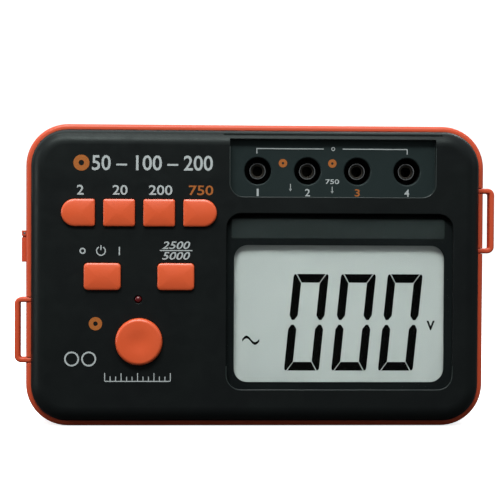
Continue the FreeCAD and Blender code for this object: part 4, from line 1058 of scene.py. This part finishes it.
def makeLoops():
    for side, label in ((-1, "left"), (1, "right")):
        node = f"strap_loop_{label}"
        low, high = boxOf(node)
        half = loopLook["bar"] / 2
        deep, edge = (high.y - low.y) / 2, loopLook["edge"]
        middleY = (low.y + high.y) / 2
        section = roundedOutline(-half, half, middleY - deep, middleY + deep, (edge,) * 4, steps=5)
        outer = (high.x if side > 0 else -low.x) - half
        shell = boxOf("rear_shell")[1].x - loopLook["root"]
        bottom, top = low.z + half, high.z - half
        turn = loopLook["corner"] - half
        start, steps = shell + loopLook["straight"], loopLook["turnSteps"]
        path = [(shell, bottom), (start, bottom)]
        path += quarterTurn(outer - turn, bottom + turn, turn, -90, steps)
        path += quarterTurn(outer - turn, top - turn, turn, 0, steps)
        path += [(start, top), (shell, top)]
        path = [(x * side, z) for x, z in path]
        verts, faces = sweep(path, section)
        makePiece(f"strapLoop{label.capitalize()}", verts, faces, shellOrange, "case",
                  "shell_orange", [node], sharp=40)


makeLoops()
print("loops ready")


# the back: feet and door screws

footLook = {"edgeSteps": 5, "edge": 0.5, "crown": 0.18}
screwLook = {"edge": 0.35, "crown": 0.3, "slotLong": 2.9, "slotWide": 0.75, "slotDeep": 0.9,
             "shank": 1.5, "head": 2.0, "edgeSteps": 4}


def makeFeet():
    parts = []
    for low, high in islandBoxes("rear_feet"):
        centre, radius = (low + high) / 2, (high.x - low.x) / 2
        edge, crown, end = footLook["edge"], footLook["crown"], high.y
        profile = [(0.0, low.y), (radius, low.y)]
        profile += quarterTurn(radius - edge, end - crown - edge, edge, 0, footLook["edgeSteps"])
        profile += [(radius * 0.5, end - crown * 0.3), (0.0, end)]
        parts.append(revolve(profile, (centre.x, 0.0, centre.z), sides=48))
    makePiece("rearFeetPads", *joinedParts(parts), footRubber, "case", "foot_rubber",
              ["rear_feet"], sharp=30)


def carved(verts, faces, cutters):
    # the shape less the cutters
    def holder(name, someVerts, someFaces):
        mesh = bpy.data.meshes.new(name)
        mesh.from_pydata([Vector(v) * mm for v in someVerts], [], someFaces)
        cleanMesh(mesh, 1e-7)
        made = bpy.data.objects.new(name, mesh)
        scene.collection.objects.link(made)
        return made
    body = holder("body", verts, faces)
    tools = [holder("tool", *cutter) for cutter in cutters]
    for tool in tools:
        cut = body.modifiers.new("cut", "BOOLEAN")
        cut.operation = "DIFFERENCE"
        cut.solver = "EXACT"
        cut.object = tool
    bpy.context.view_layer.update()
    shape = bpy.data.meshes.new_from_object(body.evaluated_get(
        bpy.context.evaluated_depsgraph_get()))
    for made in (body, *tools):
        bpy.data.objects.remove(made)
    return ([tuple(v.co / mm) for v in shape.vertices],
            [tuple(face.vertices) for face in shape.polygons])


def makeDoorScrews():
    parts = []
    for low, high in islandBoxes("door_screws"):
        centre, radius = (low + high) / 2, (high.x - low.x) / 2
        edge, crown, end = screwLook["edge"], screwLook["crown"], high.y
        shank, under = screwLook["shank"], end - screwLook["head"]
        profile = [(0.0, low.y), (shank, low.y), (shank, under), (radius, under)]
        profile += quarterTurn(radius - edge, end - crown - edge, edge, 0, screwLook["edgeSteps"])
        profile += [(radius * 0.5, end - crown * 0.25), (0.0, end)]
        head = revolve(profile, (centre.x, 0.0, centre.z), sides=40)
        long, wide = screwLook["slotLong"] / 2, screwLook["slotWide"] / 2
        deep = end - screwLook["slotDeep"]
        cutters = []
        for a, b in ((long, wide), (wide, long)):
            levels = [(min(a, b) * 0.35, deep), (0.0, end + 0.5)]
            cutters.append(loft(plateRings((centre.x - a, centre.x + a, centre.z - b,
                                            centre.z + b), (0.05,) * 4, levels, steps=1)))
        parts.append(carved(*head, cutters))
    makePiece("doorScrewHeads", *joinedParts(parts), screwSteel, "battery_door", "screw_steel",
              ["door_screws"], sharp=30)


makeFeet()
makeDoorScrews()
print("feet and screws ready")


# battery bay

cellLook = {"nub": 2.75, "nubTall": 1.1, "edge": 0.6, "band": 0.24, "rim": 0.35}
coilLook = {"turns": 5, "wire": 0.32, "perTurn": 20, "sides": 8}


def makeCells():
    parts, boxes = [], islandBoxes("battery_cells")

    def flipped(low):
        # cells in neighbouring rows lie head to tail
        below = [b for b in boxes if b[0].z < low.z - 1.0 and abs(b[0].x - low.x) < 5]
        return len(below) % 2 == 1
    for low, high in boxes:
        centre, radius = (low + high) / 2, (high.z - low.z) / 2
        e, length, rim = cellLook["edge"], high.x - low.x, cellLook["rim"]
        nubEnd, body = length, length - cellLook["nubTall"]
        profile = [(0.0, 0.25), (radius - 1.6, 0.25), (radius - 1.3, 0.0), (radius - rim - e, 0.0),
                   (radius - rim, e * 0.3), (radius, e), (radius, length * cellLook["band"]),
                   (radius, body - e), (radius - rim, body - e * 0.3), (radius - rim - e, body),
                   (cellLook["nub"] + 0.2, body), (cellLook["nub"], body + 0.2),
                   (cellLook["nub"], nubEnd - 0.25), (cellLook["nub"] - 0.25, nubEnd),
                   (0.0, nubEnd)]
        if flipped(low):
            profile = [(r, length - h) for r, h in profile]
        parts.append(revolve(profile, (low.x, centre.y, centre.z), axis="X", sides=56))

    def jacketFace(at):
        for low, high in boxes:
            if low.x - 0.01 <= at.x <= high.x + 0.01 and low.z - 0.01 <= at.z <= high.z + 0.01:
                centre = (low + high) / 2
                far = math.hypot(at.y - centre.y, at.z - centre.z)
                if far < (high.z - low.z) / 2 - 0.5:
                    return 2
                share = (at.x - low.x) / (high.x - low.x)
                if flipped(low):
                    share = 1 - share
                return 1 if share > 1 - cellLook["band"] else 0
        return 0
    makePiece("batteryCells", *joinedParts(parts), [jacketBlack, jacketCopper, plateNickel],
              "case", "cell_jacket", ["battery_cells"], sharp=30, choose=jacketFace)


def coilParts(low, high):
    # a wire wound along x, with its end turns closed up
    centre, wire = (low + high) / 2, coilLook["wire"]
    radius = (high.z - low.z) / 2 - wire
    turns, steps = coilLook["turns"], coilLook["turns"] * coilLook["perTurn"]
    length = high.x - low.x - 2 * wire
    rings = []
    for i in range(steps + 1):
        share = i / steps
        angle = 2 * math.pi * turns * share
        open_ = share - math.sin(2 * math.pi * share) / (2 * math.pi)
        x = low.x + wire + length * (0.35 * share + 0.65 * open_)
        out = Vector((0.0, math.cos(angle), math.sin(angle)))
        middle = Vector((x, centre.y, centre.z)) + out * radius
        rings.append([tuple(middle + out * wire * math.cos(2 * math.pi * k / coilLook["sides"])
                            + Vector((wire * math.sin(2 * math.pi * k / coilLook["sides"]),
                                      0.0, 0.0)))
                      for k in range(coilLook["sides"])])
    return loft(rings)


def makeSprings():
    parts = [coilParts(low, high) for low, high in islandBoxes("battery_springs")]
    makePiece("batterySprings", *joinedParts(parts), springSteel, "case", "spring_steel",
              ["battery_springs"], sharp=60)


makeCells()
makeSprings()
print("battery bay ready")
